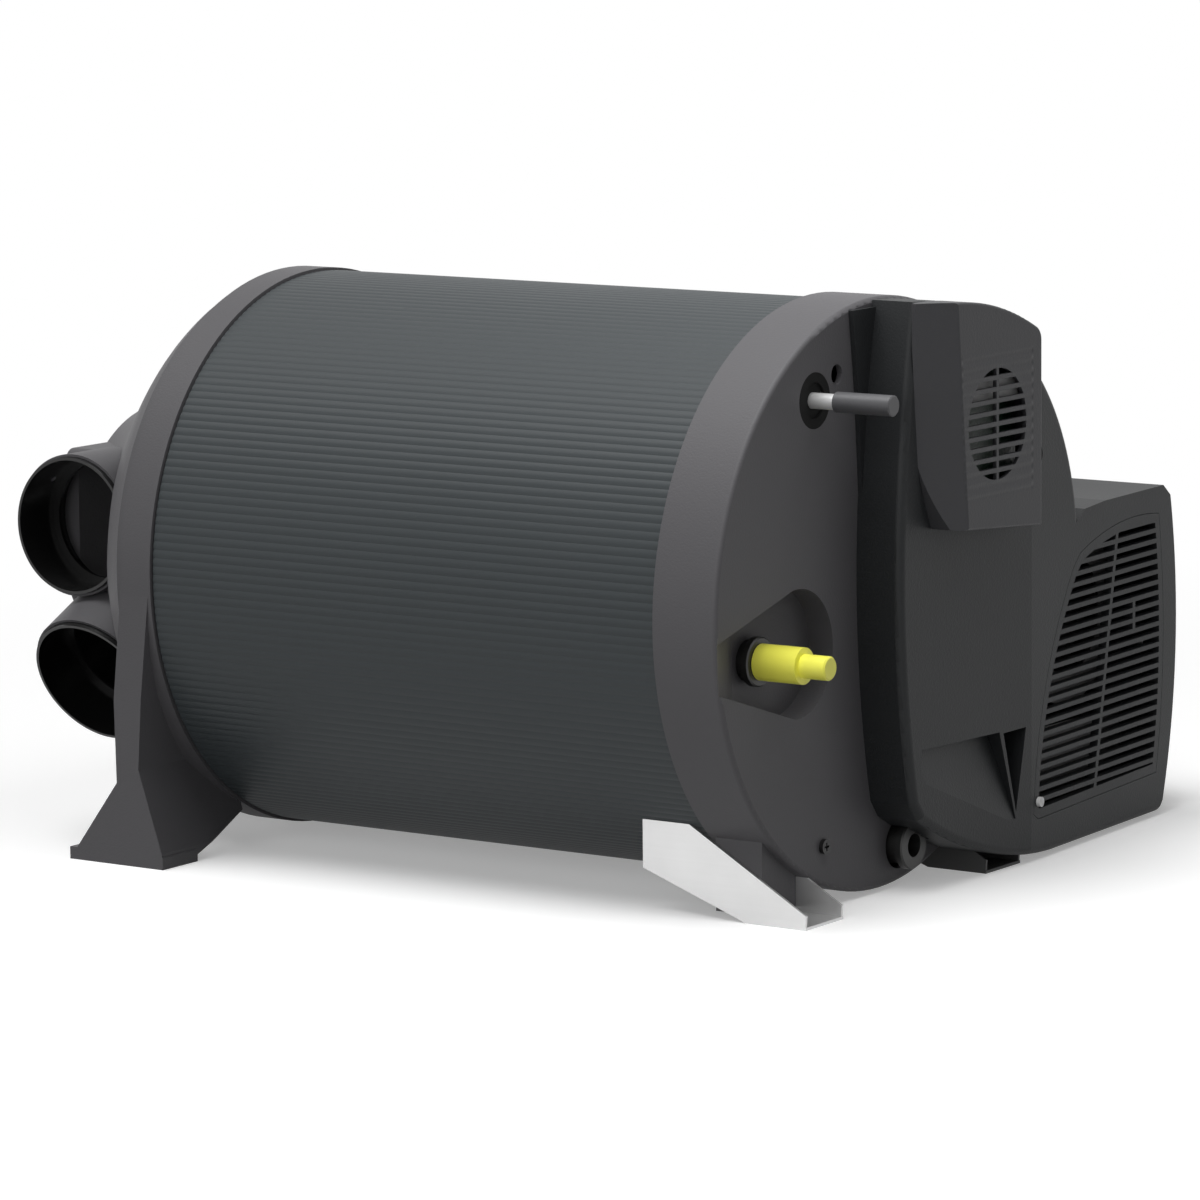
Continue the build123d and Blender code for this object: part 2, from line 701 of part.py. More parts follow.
pipe_top = gas_place[1]
pipe_start = gas_place[0] + valve_width / 2
pipe_seat = axis_height + sqrt(exchanger_radius**2 - burner_pipe_drop_y**2)
pipe_foot = pipe_seat + slide_clearance + burner_pipe_radius / 2
with BuildPart() as burner_gas_pipe:
    with BuildLine(section(burner_pipe_x)):
        FilletPolyline(
            (pipe_start, pipe_top),
            (burner_pipe_drop_y, pipe_top),
            (burner_pipe_drop_y, pipe_foot),
            radius=burner_pipe_bend,
        )
    with BuildSketch(sideways(1, burner_pipe_x, pipe_start, pipe_top)):
        Circle(burner_pipe_radius)
    sweep()
save(burner_gas_pipe, "burner_gas_pipe")

with BuildPart() as gas_pipe_grommet:
    with BuildSketch(across(-cover_wall - grommet_lip, *gas_place)):
        Circle(grommet_radius - screw_clearance)
    extrude(amount=cover_wall + grommet_lip)
    with BuildSketch(across(-cover_wall + grommet_lip, *gas_place)):
        Circle(grommet_radius - grommet_inset)
    extrude(amount=cover_wall, mode=Mode.SUBTRACT)
    with BuildSketch(across(-end_plate_depth, *gas_place)):
        Circle(gas_pipe_radius + screw_clearance)
    extrude(amount=2 * end_plate_depth, mode=Mode.SUBTRACT)
save(gas_pipe_grommet, "gas_pipe_grommet")

with BuildPart() as gas_pipe_cap:
    with BuildSketch(across(gas_cap_start, *gas_place)):
        Circle(gas_cap_radius)
    extrude(amount=gas_cap_end - gas_cap_start)
    with BuildSketch(across(gas_cap_start, *gas_place)):
        Circle(gas_pipe_radius + running_clearance)
    extrude(amount=gas_pipe_end - gas_cap_start + overrun, mode=Mode.SUBTRACT)
    chamfer(gas_pipe_cap.faces().sort_by(Axis.X)[-1].edges(), gas_cap_chamfer)
save(gas_pipe_cap, "gas_pipe_cap")

# Sensors on the burner's bulkhead: the water probe through the tank's ring, and the overheat switch
probe_depth = 50
probe_head_radius = 6
probe_head_depth = 5
switch_radius = 9
switch_depth = 7
switch_place = (40, 95)
with BuildPart() as water_temperature_probe:
    with BuildSketch(across(-end_plate_depth - probe_depth)):
        with Locations(probe_place):
            Circle(probe_radius)
    extrude(amount=probe_depth)
    with BuildSketch(across(-end_plate_depth)):
        with Locations(probe_place):
            RegularPolygon(probe_head_radius, 6)
    extrude(amount=probe_head_depth)
save(water_temperature_probe, "water_temperature_probe")
with BuildPart() as overheat_switch:
    with BuildSketch(across(-end_plate_depth)):
        with Locations(switch_place):
            Circle(switch_radius)
    extrude(amount=switch_depth / 2)
    with BuildSketch(across(-end_plate_depth)):
        with Locations(switch_place):
            Rectangle(switch_radius, switch_depth)
    extrude(amount=switch_depth)
save(overheat_switch, "overheat_switch")

# Burner end cover: a shallow drum lid with a scooped pocket for the cold water connection
cover_edge_radius = 2.4
band_wall = 2.5
pocket_width = 96
pocket_height = 62
pocket_depth = 14
pocket_slope_width = 34
pocket_shares = [(-0.5, 0.24), (0.2, 0.53), (0.58, 0.02), (0.22, -0.5), (-0.5, -0.15)]
small_hole_place = (-40, 265)
small_hole_radius = 5
port_gap = 1
duct_window_y = 90
duct_window_drop = 10
foot_block_start = -33
foot_block_end = -6
foot_block_low_z = 4
foot_block_high_z = axis_height - 101
housing_screw_places = [(30, 277), (66, 272)]
bracket_screw_x = -20
bracket_screw_z = 11
bracket_screw_length = 12


def pocket_body(thickness):
    """The pocket's hollow for thickness zero, or the cup that the cover has round it."""
    offsets = sized(pocket_shares, pocket_width, pocket_height)
    points = [(cold_place[0] + y, cold_place[1] + z) for y, z in offsets]
    floor = Plane(
        origin=(-thickness, points[0][0], 0),
        x_dir=(0, 0, 1),
        z_dir=(pocket_slope_width, pocket_depth, 0),
    )
    with BuildPart() as body:
        with BuildSketch(section(0)):
            with BuildLine():
                Polyline(points[3], points[4], points[0], points[1])
                ThreePointArc(*points[1:4])
            make_face()
            if thickness > 0:
                offset(amount=thickness)
        extrude(amount=-thickness - pocket_depth)
        split(bisect_by=floor, keep=Keep.TOP)
    return body


pocket_cup = pocket_body(cover_wall)
pocket_hollow = pocket_body(0)
with BuildPart() as drum_space:
    with BuildSketch(across(-burner_band_width)):
        Circle(burner_cover_radius - band_wall / 2)
    extrude(amount=burner_band_width)
with BuildPart() as burner_end_cover:
    with BuildSketch(across(0)):
        Circle(burner_cover_radius)
    extrude(amount=-burner_band_width)
    fillet(burner_end_cover.faces().sort_by(Axis.X)[-1].edges(), cover_edge_radius)
    with BuildSketch(across(-cover_wall)):
        Circle(burner_cover_radius - band_wall)
    extrude(amount=-burner_band_width, mode=Mode.SUBTRACT)
    add(pocket_cup.part & drum_space.part)
    add(pocket_hollow.part, mode=Mode.SUBTRACT)
    with BuildSketch(across(-cover_wall)):
        with Locations(*cover_screw_places):
            Circle(cover_boss_radius)
    extrude(amount=cover_wall - end_plate_depth)
    for side in (-1, 1):
        with BuildSketch(section(foot_block_start)):
            with Locations((side * bracket_centre_y, (foot_block_low_z + foot_block_high_z) / 2)):
                Rectangle(
                    bracket_width - 2 * bracket_sheet - 2 * slide_clearance,
                    foot_block_high_z - foot_block_low_z,
                )
        block = extrude(amount=foot_block_end - foot_block_start, mode=Mode.PRIVATE)
        add(block - drum_space.part)
        with BuildSketch(sideways(-side, bracket_screw_x, -bracket_centre_y, bracket_screw_z)):
            Circle(screw_radius + screw_clearance)
        extrude(amount=bracket_width, mode=Mode.SUBTRACT)
    with BuildSketch(section(overrun)):
        with Locations(*[(y, axis_height + z) for y, z in cover_screw_places]):
            Circle(screw_radius + screw_clearance)
        with Locations(cold_place):
            Circle(stub_radius + slide_clearance)
    extrude(amount=-end_plate_depth - 2 * overrun, mode=Mode.SUBTRACT)
    with BuildSketch(section(overrun)):
        with Locations(gas_place):
            Circle(grommet_radius)
        with Locations(small_hole_place):
            Circle(small_hole_radius)
        with Locations(hot_place):
            Circle(stub_collar_radius + slide_clearance)
        with Locations((fan_y, fan_z)):
            Circle(fan_housing_radius + port_gap)
        with Locations(*housing_screw_places):
            Circle(screw_radius + screw_clearance)
    extrude(amount=-cover_wall - 2 * overrun, mode=Mode.SUBTRACT)
    with BuildSketch(sideways(1, duct_x, duct_window_y, 0)):
        with Locations((0, duct_high_z - duct_window_drop / 2)):
            Rectangle(air_duct_depth + port_gap, air_duct_height + port_gap + duct_window_drop)
        with Locations(((duct_x - (blower_start + blower_end) / 2), blower_outlet_z)):
            Rectangle(blower_end - blower_start + port_gap, blower_outlet_height + port_gap)
    extrude(amount=burner_cover_radius, mode=Mode.SUBTRACT)
save(burner_end_cover, "burner_end_cover")
cover_screw_planes = [across(0, y, axis_height + z) for y, z in cover_screw_places]
cover_screws = screws(cover_screw_planes, end_plate_depth + plate_thickness)
save(cover_screws, "cover_screws")

# Outlet end cover: a band and ring moulded in one with the two legs
lip_depth = 9
lip_wall = 1.5
cover_opening_radius = 132
leg_wall = 4
foot_width = 61.4
foot_hole_x = -388
foot_hole_y = 131
leg_web_low_y = 74
leg_web_low_z = 20
leg_height = axis_height
foot_start = -404.5
leg_edge_start = 5
leg_outline_shares = [
    (0.619, 1),
    (0.51, 0.57),
    (0.523, 0.284),
    (0.083, 0.046),
    (0.083, 0.02),
    (0.992, 0.02),
    (0.992, 0.055),
    (0.759, 0.337),
    (0.801, 0.58),
    (0.914, 1),
]
outlet_wall_x = -drum_length
outlet_cover_bore = outlet_cover_radius - cover_wall
with BuildPart() as drum_shape:
    with BuildSketch(across(foot_start)):
        Circle(outlet_cover_bore + lip_wall)
    extrude(amount=2 * foot_width)


def leg_plate(side, y, points, thickness):
    """A plate with an outline of X and Z points, its outer face at that distance from the drum's axis."""
    with BuildPart() as plate:
        with BuildSketch(sideways(side, 0, y, 0)):
            with BuildLine():
                Polyline(*[(-side * x, z) for x, z in points], close=True)
            make_face()
        extrude(amount=-thickness)
    return plate.part


def leg_pieces(side):
    """A leg's outer plate, its inner plate under the drum, and the web between them on its burner side."""
    outline = [(foot_start + x, z) for x, z in sized(leg_outline_shares, foot_width, leg_height)]
    edge = outline[leg_edge_start:]
    strip = edge + [(x - leg_wall, z) for x, z in reversed(edge)]
    with BuildPart() as web_room:
        with BuildSketch(section(foot_start)):
            with BuildLine():
                Polyline(
                    (side * leg_face_y, leg_height),
                    (side * leg_face_y, foot_thickness / 2),
                    (side * (leg_face_y - foot_depth), foot_thickness / 2),
                    (side * leg_web_low_y, leg_web_low_z),
                    (side * leg_web_low_y, leg_height),
                    close=True,
                )
            make_face()
        extrude(amount=foot_width)
    outer_plate = leg_plate(side, leg_face_y, outline, leg_wall)
    inner_plate = leg_plate(side, leg_face_y - foot_depth + leg_wall, outline, leg_wall)
    web = leg_plate(side, leg_face_y, strip, leg_face_y - leg_web_low_y) & web_room.part
    return [outer_plate, inner_plate - drum_shape.part, web - drum_shape.part]


with BuildPart() as outlet_end_cover:
    with BuildSketch(across(outlet_wall_x)):
        Circle(outlet_cover_radius)
    extrude(amount=outlet_band_width)
    with BuildSketch(across(outlet_wall_x + outlet_band_width)):
        Circle(jacket_radius - jacket_wall - slide_clearance)
    extrude(amount=lip_depth)
    for side in (-1, 1):
        for piece in leg_pieces(side):
            add(piece)
        with BuildSketch(Plane.XY):
            with Locations((foot_start + foot_width / 2, side * (leg_face_y - foot_depth / 2))):
                Rectangle(foot_width, foot_depth)
        extrude(amount=foot_thickness)
        with BuildSketch(Plane.XY.offset(-overrun)):
            with Locations((foot_hole_x, side * foot_hole_y)):
                Circle(floor_hole_radius)
        extrude(amount=foot_thickness + 2 * overrun, mode=Mode.SUBTRACT)
    with BuildSketch(across(outlet_wall_x + cover_wall)):
        Circle(outlet_cover_bore - lip_wall)
    extrude(amount=outlet_band_width + lip_depth, mode=Mode.SUBTRACT)
    with BuildSketch(across(outlet_wall_x + cover_wall)):
        with PolarLocations(outlet_screw_circle, outlet_screw_count):
            Circle(outlet_boss_radius)
    extrude(amount=outlet_plate_start - outlet_wall_x - cover_wall)
    with BuildSketch(across(outlet_wall_x)):
        Circle(outlet_cover_bore + lip_wall)
    extrude(amount=-foot_width, mode=Mode.SUBTRACT)
    with BuildSketch(across(outlet_wall_x - overrun)):
        Circle(cover_opening_radius)
        with PolarLocations(outlet_screw_circle, outlet_screw_count):
            Circle(screw_radius + screw_clearance)
    extrude(amount=2 * foot_width, mode=Mode.SUBTRACT)
save(outlet_end_cover, "outlet_end_cover")
with BuildPart() as outlet_cover_screws:
    with BuildSketch(across(outlet_wall_x)):
        with PolarLocations(outlet_screw_circle, outlet_screw_count):
            Circle(screw_head_radius)
    extrude(amount=-screw_head_height)
    with BuildSketch(across(outlet_wall_x)):
        with PolarLocations(outlet_screw_circle, outlet_screw_count):
            Circle(screw_radius)
    extrude(amount=outlet_plate_start + plate_thickness - outlet_wall_x)
save(outlet_cover_screws, "outlet_cover_screws")

# Air manifold: a domed hood with a square chest, from which the four outlets leave
manifold_depth = 91.5
manifold_wall = 3
manifold_half_width = 80
manifold_corner_z = 128
manifold_bottom_z = 43
manifold_edge = 5
manifold_lip_wall = 2.7
manifold_lip_depth = 8
manifold_flange = 3
sleeve_wall = 1.5
sleeve_inset = 3
mouth_room = 20
duct_screw_radius = 1.5
duct_screw_depth = 20
duct_screw_turn = 53
duct_screw_length = 1.5
duct_screw_head_radius = 2.6
duct_screw_head_height = 1.4
right_angle = 90
dome_shares = [(0.06, 0.985), (0.15, 0.945), (0.475, 0.726), (0.8, 0.548), (1, 0.473)]
upper_outlet_length = 37
lower_outlet_length = 56
outlet_kinds = {
    "upper": (upper_outlet_x, upper_outlet_z, 0, upper_outlet_length),
    "lower": (lower_outlet_x, lower_outlet_z, outlet_tilt, lower_outlet_length),
}
manifold_end_x = outlet_wall_x - manifold_depth
chest_taper = (manifold_corner_z - manifold_bottom_z) * tan(radians(outlet_tilt))
lip_radius = cover_opening_radius - slide_clearance


def outlet_plane(side, x, z, tilt):
    """The plane of an outlet's mouth, facing out of the side and down by the tilt."""
    return Plane(
        origin=(x, side * outlet_reach, z),
        x_dir=(-side, 0, 0),
        z_dir=(0, side * cos(radians(tilt)), -sin(radians(tilt))),
    )


def duct_screw_plane(side, mouth):
    """The plane that touches a socket's outside at its screw, facing away from the socket's axis."""
    turn = radians(right_angle - side * duct_screw_turn)
    out = mouth.x_dir * cos(turn) + mouth.y_dir * sin(turn)
    return Plane(origin=mouth.origin - mouth.z_dir * duct_screw_depth + out * outlet_radius, z_dir=out)


def chest(wall):
    """The manifold's square chest for wall zero, or its hollow inside that wall."""
    half = manifold_half_width - wall
    low_half = manifold_half_width - chest_taper - wall
    top = upper_outlet_z + outlet_radius - wall
    with BuildPart() as body:
        with BuildSketch(section(outlet_wall_x)) as outline:
            with BuildLine():
                Polyline(
                    (-half, top),
                    (-half, manifold_corner_z),
                    (-low_half, manifold_bottom_z + wall),
                    (low_half, manifold_bottom_z + wall),
                    (half, manifold_corner_z),
                    (half, top),
                    close=True,
                )
            make_face()
            fillet(outline.vertices(), manifold_edge)
        extrude(amount=wall - manifold_depth)
        if wall == 0:
            fillet(body.faces().sort_by(Axis.X)[0].edges(), manifold_edge / 2)
    return body


def dome(wall):
    """The manifold's dome for wall zero, or its hollow inside that wall."""
    depth = manifold_depth - wall
    points = [(-x * depth, r * jacket_radius - wall) for x, r in dome_shares]
    with BuildPart() as body:
        with BuildSketch(sideways(-1, outlet_wall_x, 0, axis_height)):
            with BuildLine():
                Spline(*points)
                Polyline(points[-1], (-depth, 0), (0, 0), (0, points[0][1]), points[0])
            make_face()
        revolve(axis=Axis((0, 0, axis_height), (1, 0, 0)))
    return body


outlet_places = [(side, *kind) for side in (-1, 1) for kind in outlet_kinds.values()]
chest_outer, dome_outer = chest(0), dome(0)
chest_inner, dome_inner = chest(manifold_wall), dome(manifold_wall)
with BuildPart() as air_manifold:
    add(chest_outer.part)
    add(dome_outer.part)
    for side, x, z, tilt, length in outlet_places:
        with BuildSketch(outlet_plane(side, x, z, tilt).offset(-sleeve_inset)):
            Circle(outlet_radius + sleeve_wall)
        extrude(amount=sleeve_inset - length - manifold_wall)
    add(chest_inner.part, mode=Mode.SUBTRACT)
    add(dome_inner.part, mode=Mode.SUBTRACT)
    for side, x, z, tilt, length in outlet_places:
        mouth = outlet_plane(side, x, z, tilt)
        with BuildSketch(mouth.offset(mouth_room)):
            Circle(outlet_radius + sleeve_wall)
        collar = extrude(amount=-mouth_room - sleeve_inset, mode=Mode.PRIVATE)
        add(collar & dome_outer.part)
        with BuildSketch(mouth.offset(mouth_room)):
            Circle(outlet_radius + slide_clearance / 2)
        extrude(amount=-mouth_room - length - slide_clearance, mode=Mode.SUBTRACT)
        with BuildSketch(duct_screw_plane(side, mouth)):
            Circle(duct_screw_head_radius + slide_clearance)
        extrude(amount=mouth_room, mode=Mode.SUBTRACT)
    with BuildSketch(across(outlet_wall_x)):
        Circle(outlet_cover_bore + lip_wall - slide_clearance)
        Circle(lip_radius - manifold_lip_wall, mode=Mode.SUBTRACT)
    extrude(amount=-manifold_flange)
    with BuildSketch(across(outlet_wall_x)):
        Circle(lip_radius)
        Circle(lip_radius - manifold_lip_wall, mode=Mode.SUBTRACT)
    extrude(amount=manifold_lip_depth)
    with BuildSketch(across(outlet_wall_x)):
        with PolarLocations(outlet_screw_circle, outlet_screw_count):
            Circle(screw_head_radius + slide_clearance)
    extrude(amount=-manifold_flange - overrun, mode=Mode.SUBTRACT)
save(air_manifold, "air_manifold")

# Warm air outlets: black duct sockets, each with a stop ring and a small screw that holds the duct
socket_depth = 28
stop_radius = 31
stop_thickness = 2


def outlet(side, mouth, length):
    """One duct socket: a thin tube behind its mouth, with a stop ring at the socket's depth."""
    with BuildPart() as body:
        with BuildSketch(mouth):
            Circle(outlet_radius)
            Circle(outlet_bore_radius, mode=Mode.SUBTRACT)
        extrude(amount=-length)
        with BuildSketch(mouth.offset(-socket_depth)):
            Circle(outlet_radius)
            Circle(stop_radius, mode=Mode.SUBTRACT)
        extrude(amount=-stop_thickness)
        with BuildSketch(duct_screw_plane(side, mouth)):
            Circle(duct_screw_radius + screw_clearance)
        extrude(amount=-duct_screw_length - overrun, mode=Mode.SUBTRACT)
    return body


for side, side_name in ((-1, "front"), (1, "rear")):
    upper_mouth = outlet_plane(side, upper_outlet_x, upper_outlet_z, 0)
    upper_socket = outlet(side, upper_mouth, upper_outlet_length)
    save(upper_socket, "warm_air_outlet_" + side_name + "_upper")
    with BuildPart() as lower_socket:
        lower_mouth = outlet_plane(side, lower_outlet_x, lower_outlet_z, outlet_tilt)
        add(outlet(side, lower_mouth, lower_outlet_length).part)
        with BuildSketch(upper_mouth):
            Circle(outlet_radius + slide_clearance)
        extrude(amount=-outlet_reach, mode=Mode.SUBTRACT)
    save(lower_socket, "warm_air_outlet_" + side_name + "_lower")
with BuildPart() as outlet_screws:
    for side, x, z, tilt, length in outlet_places:
        screw_plane = duct_screw_plane(side, outlet_plane(side, x, z, tilt))
        with BuildSketch(screw_plane):
            Circle(duct_screw_head_radius)
        extrude(amount=duct_screw_head_height)
        with BuildSketch(screw_plane):
            Circle(duct_screw_radius)
        extrude(amount=-duct_screw_length)
save(outlet_screws, "outlet_screws")

# Burner housing: the shell on the cover's face, flat on the left and slanted back under the grille
housing_edge = 4
housing_top_y = -7
slant_y = 104
left_wall_shares = [(-0.057, 1.433), (-0.084, 1.028), (-0.076, 0.62), (-0.038, 0.27), (-0.0115, 0.219)]
bottom_shares = [(0.229, 0.073), (0.5, 0.0135), (0.972, 0.0125), (0.992, 0.046)]
right_wall_shares = [(1.051, 0.59), (1.022, 0.965), (0.989, 1), (0.725, 1), (0.63, 0.9915)]
housing_notch_share = 0.966
housing_neck_steps = [(9.5, 23), (5, 40), (0, 66)]
flange_shares = [(-0.111, 1.66), (-0.092, 1.427), (-0.0725, 1.011), (0, 1.011), (0, 1.66)]
scoop_shares = [
    (-0.019, 0.376),
    (-0.0115, 0.421),
    (0.275, 0.41),
    (0.336, 0.146),
    (0.3, 0.152),
    (0.214, 0.185),
    (0.004, 0.32),
]
groove_shares = [(0.29, 0.404), (0.376, 0.404), (0.338, 0.165)]
scoop_depth = 8.5
scoop_reach = 42
groove_depth_x = 14
hot_port_depth = 10
bracket_notch_height = 21
bracket_notch_depth = 21.5
housing_post_radius = 5
grille_left_shares = [(0.408, 0.14), (0.462, 0.517), (0.58, 0.826)]
grille_top_shares = [(0.611, 0.865), (0.763, 0.918), (0.967, 0.918)]
grille_right_shares = [(0.99, 0.562), (0.959, 0.137)]
grille_foot_share = (0.427, 0.124)
grille_gap = 0.3
slant = Plane(
    origin=(housing_depth, slant_y, 0),
    x_dir=(-sin(radians(face_slant)), cos(radians(face_slant)), 0),
    z_dir=(cos(radians(face_slant)), sin(radians(face_slant)), 0),
)


def on_housing(shares):
    """Points of the housing, from shares of the grille box's width and height."""
    return sized(shares, box_width, box_height)


def around_drum(radius, turn):
    """The point at a radius from the drum's axis, turned up by an angle from the level."""
    return (radius * cos(radians(turn)), axis_height + radius * sin(radians(turn)))


def housing_shape(inset):
    """The housing's outer shape for inset zero, or its hollow inside that wall."""
    wall_shares = (left_wall_shares, bottom_shares, right_wall_shares)
    left, bottom, right = [on_housing(shares) for shares in wall_shares]
    notch_z = housing_notch_share * box_height
    notch = (sqrt(housing_neck_radius**2 - (notch_z - axis_height) ** 2), notch_z)
    top = (housing_top_y, axis_height + sqrt(housing_radius**2 - housing_top_y**2))
    neck, shoulder, crown = [around_drum(housing_radius + step, turn) for step, turn in housing_neck_steps]
    with BuildPart() as body:
        with BuildSketch(section(0)):
            with BuildLine():
                ThreePointArc(top, left[0], left[1])
                ThreePointArc(left[1], left[2], left[3])
                Line(left[3], left[4])
                ThreePointArc(left[4], bottom[0], bottom[1])
                Polyline(bottom[1], bottom[2], bottom[3])
                ThreePointArc(bottom[3], right[0], right[1])
                Polyline(right[1], right[2], right[3], right[4], notch)
                ThreePointArc(notch, neck, shoulder)
                ThreePointArc(shoulder, crown, top)
            make_face()
            if inset > 0:
                offset(amount=-inset)
        extrude(amount=housing_depth - inset)
        split(bisect_by=slant.offset(-inset), keep=Keep.BOTTOM)
        if inset == 0:
            fillet(body.faces().filter_by(Plane.YZ).sort_by(Axis.X)[-1].edges(), housing_edge)
    return body


slant_run = 1 / cos(radians(face_slant))
grille_shares = grille_left_shares + grille_top_shares + grille_right_shares + [grille_foot_share]
grille_points = [((y - slant_y) * slant_run, z) for y, z in on_housing(grille_shares)]
with BuildSketch() as grille_outline:
    with BuildLine():
        ThreePointArc(*grille_points[0:3])
        Line(grille_points[2], grille_points[3])
        ThreePointArc(*grille_points[3:6])
        ThreePointArc(*grille_points[5:8])
        Polyline(grille_points[7], grille_points[8], grille_points[0])
    make_face()

# The scoop: a panel sunk under its upper edge and flush at its lower one, with a deep groove beside it
scoop_points = on_housing(scoop_shares)
scoop_start, scoop_end = scoop_points[6], scoop_points[4]
scoop_run = (scoop_end[0] - scoop_start[0], scoop_end[1] - scoop_start[1])
scoop_length = sqrt(scoop_run[0] ** 2 + scoop_run[1] ** 2)
scoop_floor = Plane(
    origin=(housing_depth, *scoop_start),
    x_dir=(0, *scoop_run),
    z_dir=(
        scoop_reach,
        -scoop_depth * scoop_run[1] / scoop_length,
        scoop_depth * scoop_run[0] / scoop_length,
    ),
)
with BuildPart() as scoop:
    with BuildSketch(section(housing_depth)):
        with BuildLine():
            Polyline(*scoop_points, close=True)
        make_face()
    extrude(amount=-groove_depth_x)
    split(bisect_by=scoop_floor, keep=Keep.TOP)
    with BuildSketch(section(housing_depth)):
        with BuildLine():
            Polyline(*on_housing(groove_shares), close=True)
        make_face()
    extrude(amount=-groove_depth_x)

housing_outer = housing_shape(0)
housing_inner = housing_shape(housing_wall)
with BuildPart() as neck_rim:
    with BuildSketch(section(0)):
        with Locations((housing_neck_radius / 2, box_height + housing_neck_radius / 2)):
            Rectangle(housing_neck_radius, housing_neck_radius)
        with Locations((0, axis_height)):
            Circle(housing_radius, mode=Mode.SUBTRACT)
    extrude(amount=housing_wall)
    add(housing_outer.part, mode=Mode.INTERSECT)
with BuildPart() as burner_housing:
    add(housing_outer.part)
    with BuildSketch(section(0)):
        with BuildLine():
            Polyline(*on_housing(flange_shares), close=True)
        make_face()
    extrude(amount=housing_wall)
    add(housing_inner.part, mode=Mode.SUBTRACT)
    add(neck_rim.part)
    with BuildSketch(section(housing_depth - groove_depth_x - housing_wall)):
        with BuildLine():
            Polyline(*scoop_points, close=True)
        make_face()
        with BuildLine():
            Polyline(*on_housing(groove_shares), close=True)
        make_face()
        offset(amount=housing_wall)
    extrude(amount=groove_depth_x)
    with BuildSketch(section(0)):
        with Locations(*housing_screw_places):
            Circle(housing_post_radius)
    extrude(amount=housing_depth - housing_wall)
    add(scoop.part, mode=Mode.SUBTRACT)
    with BuildSketch(section(-overrun)):
        with Locations(*housing_screw_places):
            Circle(screw_radius + screw_clearance)
    extrude(amount=housing_depth + 2 * overrun, mode=Mode.SUBTRACT)
    with BuildSketch(section(-overrun)):
        with Locations(hot_place):
            Circle(stub_collar_radius + port_gap)
    extrude(amount=hot_port_depth + overrun, mode=Mode.SUBTRACT)
    with BuildSketch(section(-overrun)):
        with Locations((bracket_centre_y, bracket_notch_height / 2)):
            Rectangle(bracket_width + 2 * port_gap, bracket_notch_height)
    extrude(amount=bracket_notch_depth + overrun, mode=Mode.SUBTRACT)
    with BuildSketch(slant.offset(overrun)):
        add(grille_outline.sketch)
        offset(amount=grille_gap)
    extrude(amount=-housing_wall - 2 * overrun, mode=Mode.SUBTRACT)
save(burner_housing, "burner_housing")
housing_screw_planes = [across(housing_depth, y, z) for y, z in housing_screw_places]
housing_screws = screws(housing_screw_planes, housing_depth + cover_wall)
save(housing_screws, "housing_screws")

# Intake grille: rows of slots with a slanted bar and one short rib, held from behind by its flange
grille_flange_width = 3
grille_flange_depth = 2
grille_rim = 5
slot_pitch = 5.6
slot_height = 3.2
slot_rows = 25
slot_start_z = 26
bar_top_share = (0.777, 0.9)
bar_foot_share = (0.675, 0.13)
bar_width = 3
rib_place_share = (0.854, 0.635)
rib_width = 3
rib_height = 18
sensor_place_share = (0.428, 0.174)
sensor_radius = 2.6
sensor_front = 2
sensor_depth = 8


def on_slant(share):
    """A point on the slanted face, from shares of the grille box's width and height."""
    return ((share[0] * box_width - slant_y) * slant_run, share[1] * box_height)


bar_top, bar_foot = on_slant(bar_top_share), on_slant(bar_foot_share)
with BuildPart() as intake_grille:
    with BuildSketch(slant):
        add(grille_outline.sketch)
    extrude(amount=-housing_wall)
    with BuildSketch(slant.offset(-housing_wall)):
        add(grille_outline.sketch)
        offset(amount=grille_flange_width)
    extrude(amount=-grille_flange_depth)
    with BuildSketch(slant.offset(overrun)):
        add(grille_outline.sketch)
        offset(amount=-grille_rim)
        for row in range(slot_rows):
            with Locations((box_width / 2, slot_start_z + row * slot_pitch)):
                Rectangle(box_width, slot_pitch - slot_height, mode=Mode.SUBTRACT)
        with BuildLine():
            Polyline(
                (bar_top[0] - bar_width / 2, bar_top[1]),
                (bar_top[0] + bar_width / 2, bar_top[1]),
                (bar_foot[0] + bar_width / 2, bar_foot[1]),
                (bar_foot[0] - bar_width / 2, bar_foot[1]),
                close=True,
            )
        make_face(mode=Mode.SUBTRACT)
        with Locations(on_slant(rib_place_share)):
            Rectangle(rib_width, rib_height, mode=Mode.SUBTRACT)
    extrude(amount=-housing_wall - grille_flange_depth - 2 * overrun, mode=Mode.SUBTRACT)
    with BuildSketch(slant.offset(overrun)):
        with Locations(on_slant(sensor_place_share)):
            Circle(sensor_radius + screw_clearance)
    extrude(amount=-sensor_depth - overrun, mode=Mode.SUBTRACT)
save(intake_grille, "intake_grille")
with BuildPart() as intake_temperature_sensor:
    with BuildSketch(slant.offset(sensor_front)):
        with Locations(on_slant(sensor_place_share)):
            Circle(sensor_radius)
    extrude(amount=-sensor_front - sensor_depth)
save(intake_temperature_sensor, "intake_temperature_sensor")

# Fan box: the shell behind the grille, open towards the drum, with a pedestal for the blower's motor
fan_box_start_y = 104
fan_box_low_share = 0.042
drum_gap = 1.6
pedestal_radius = 20
fan_box_back_x = -box_depth


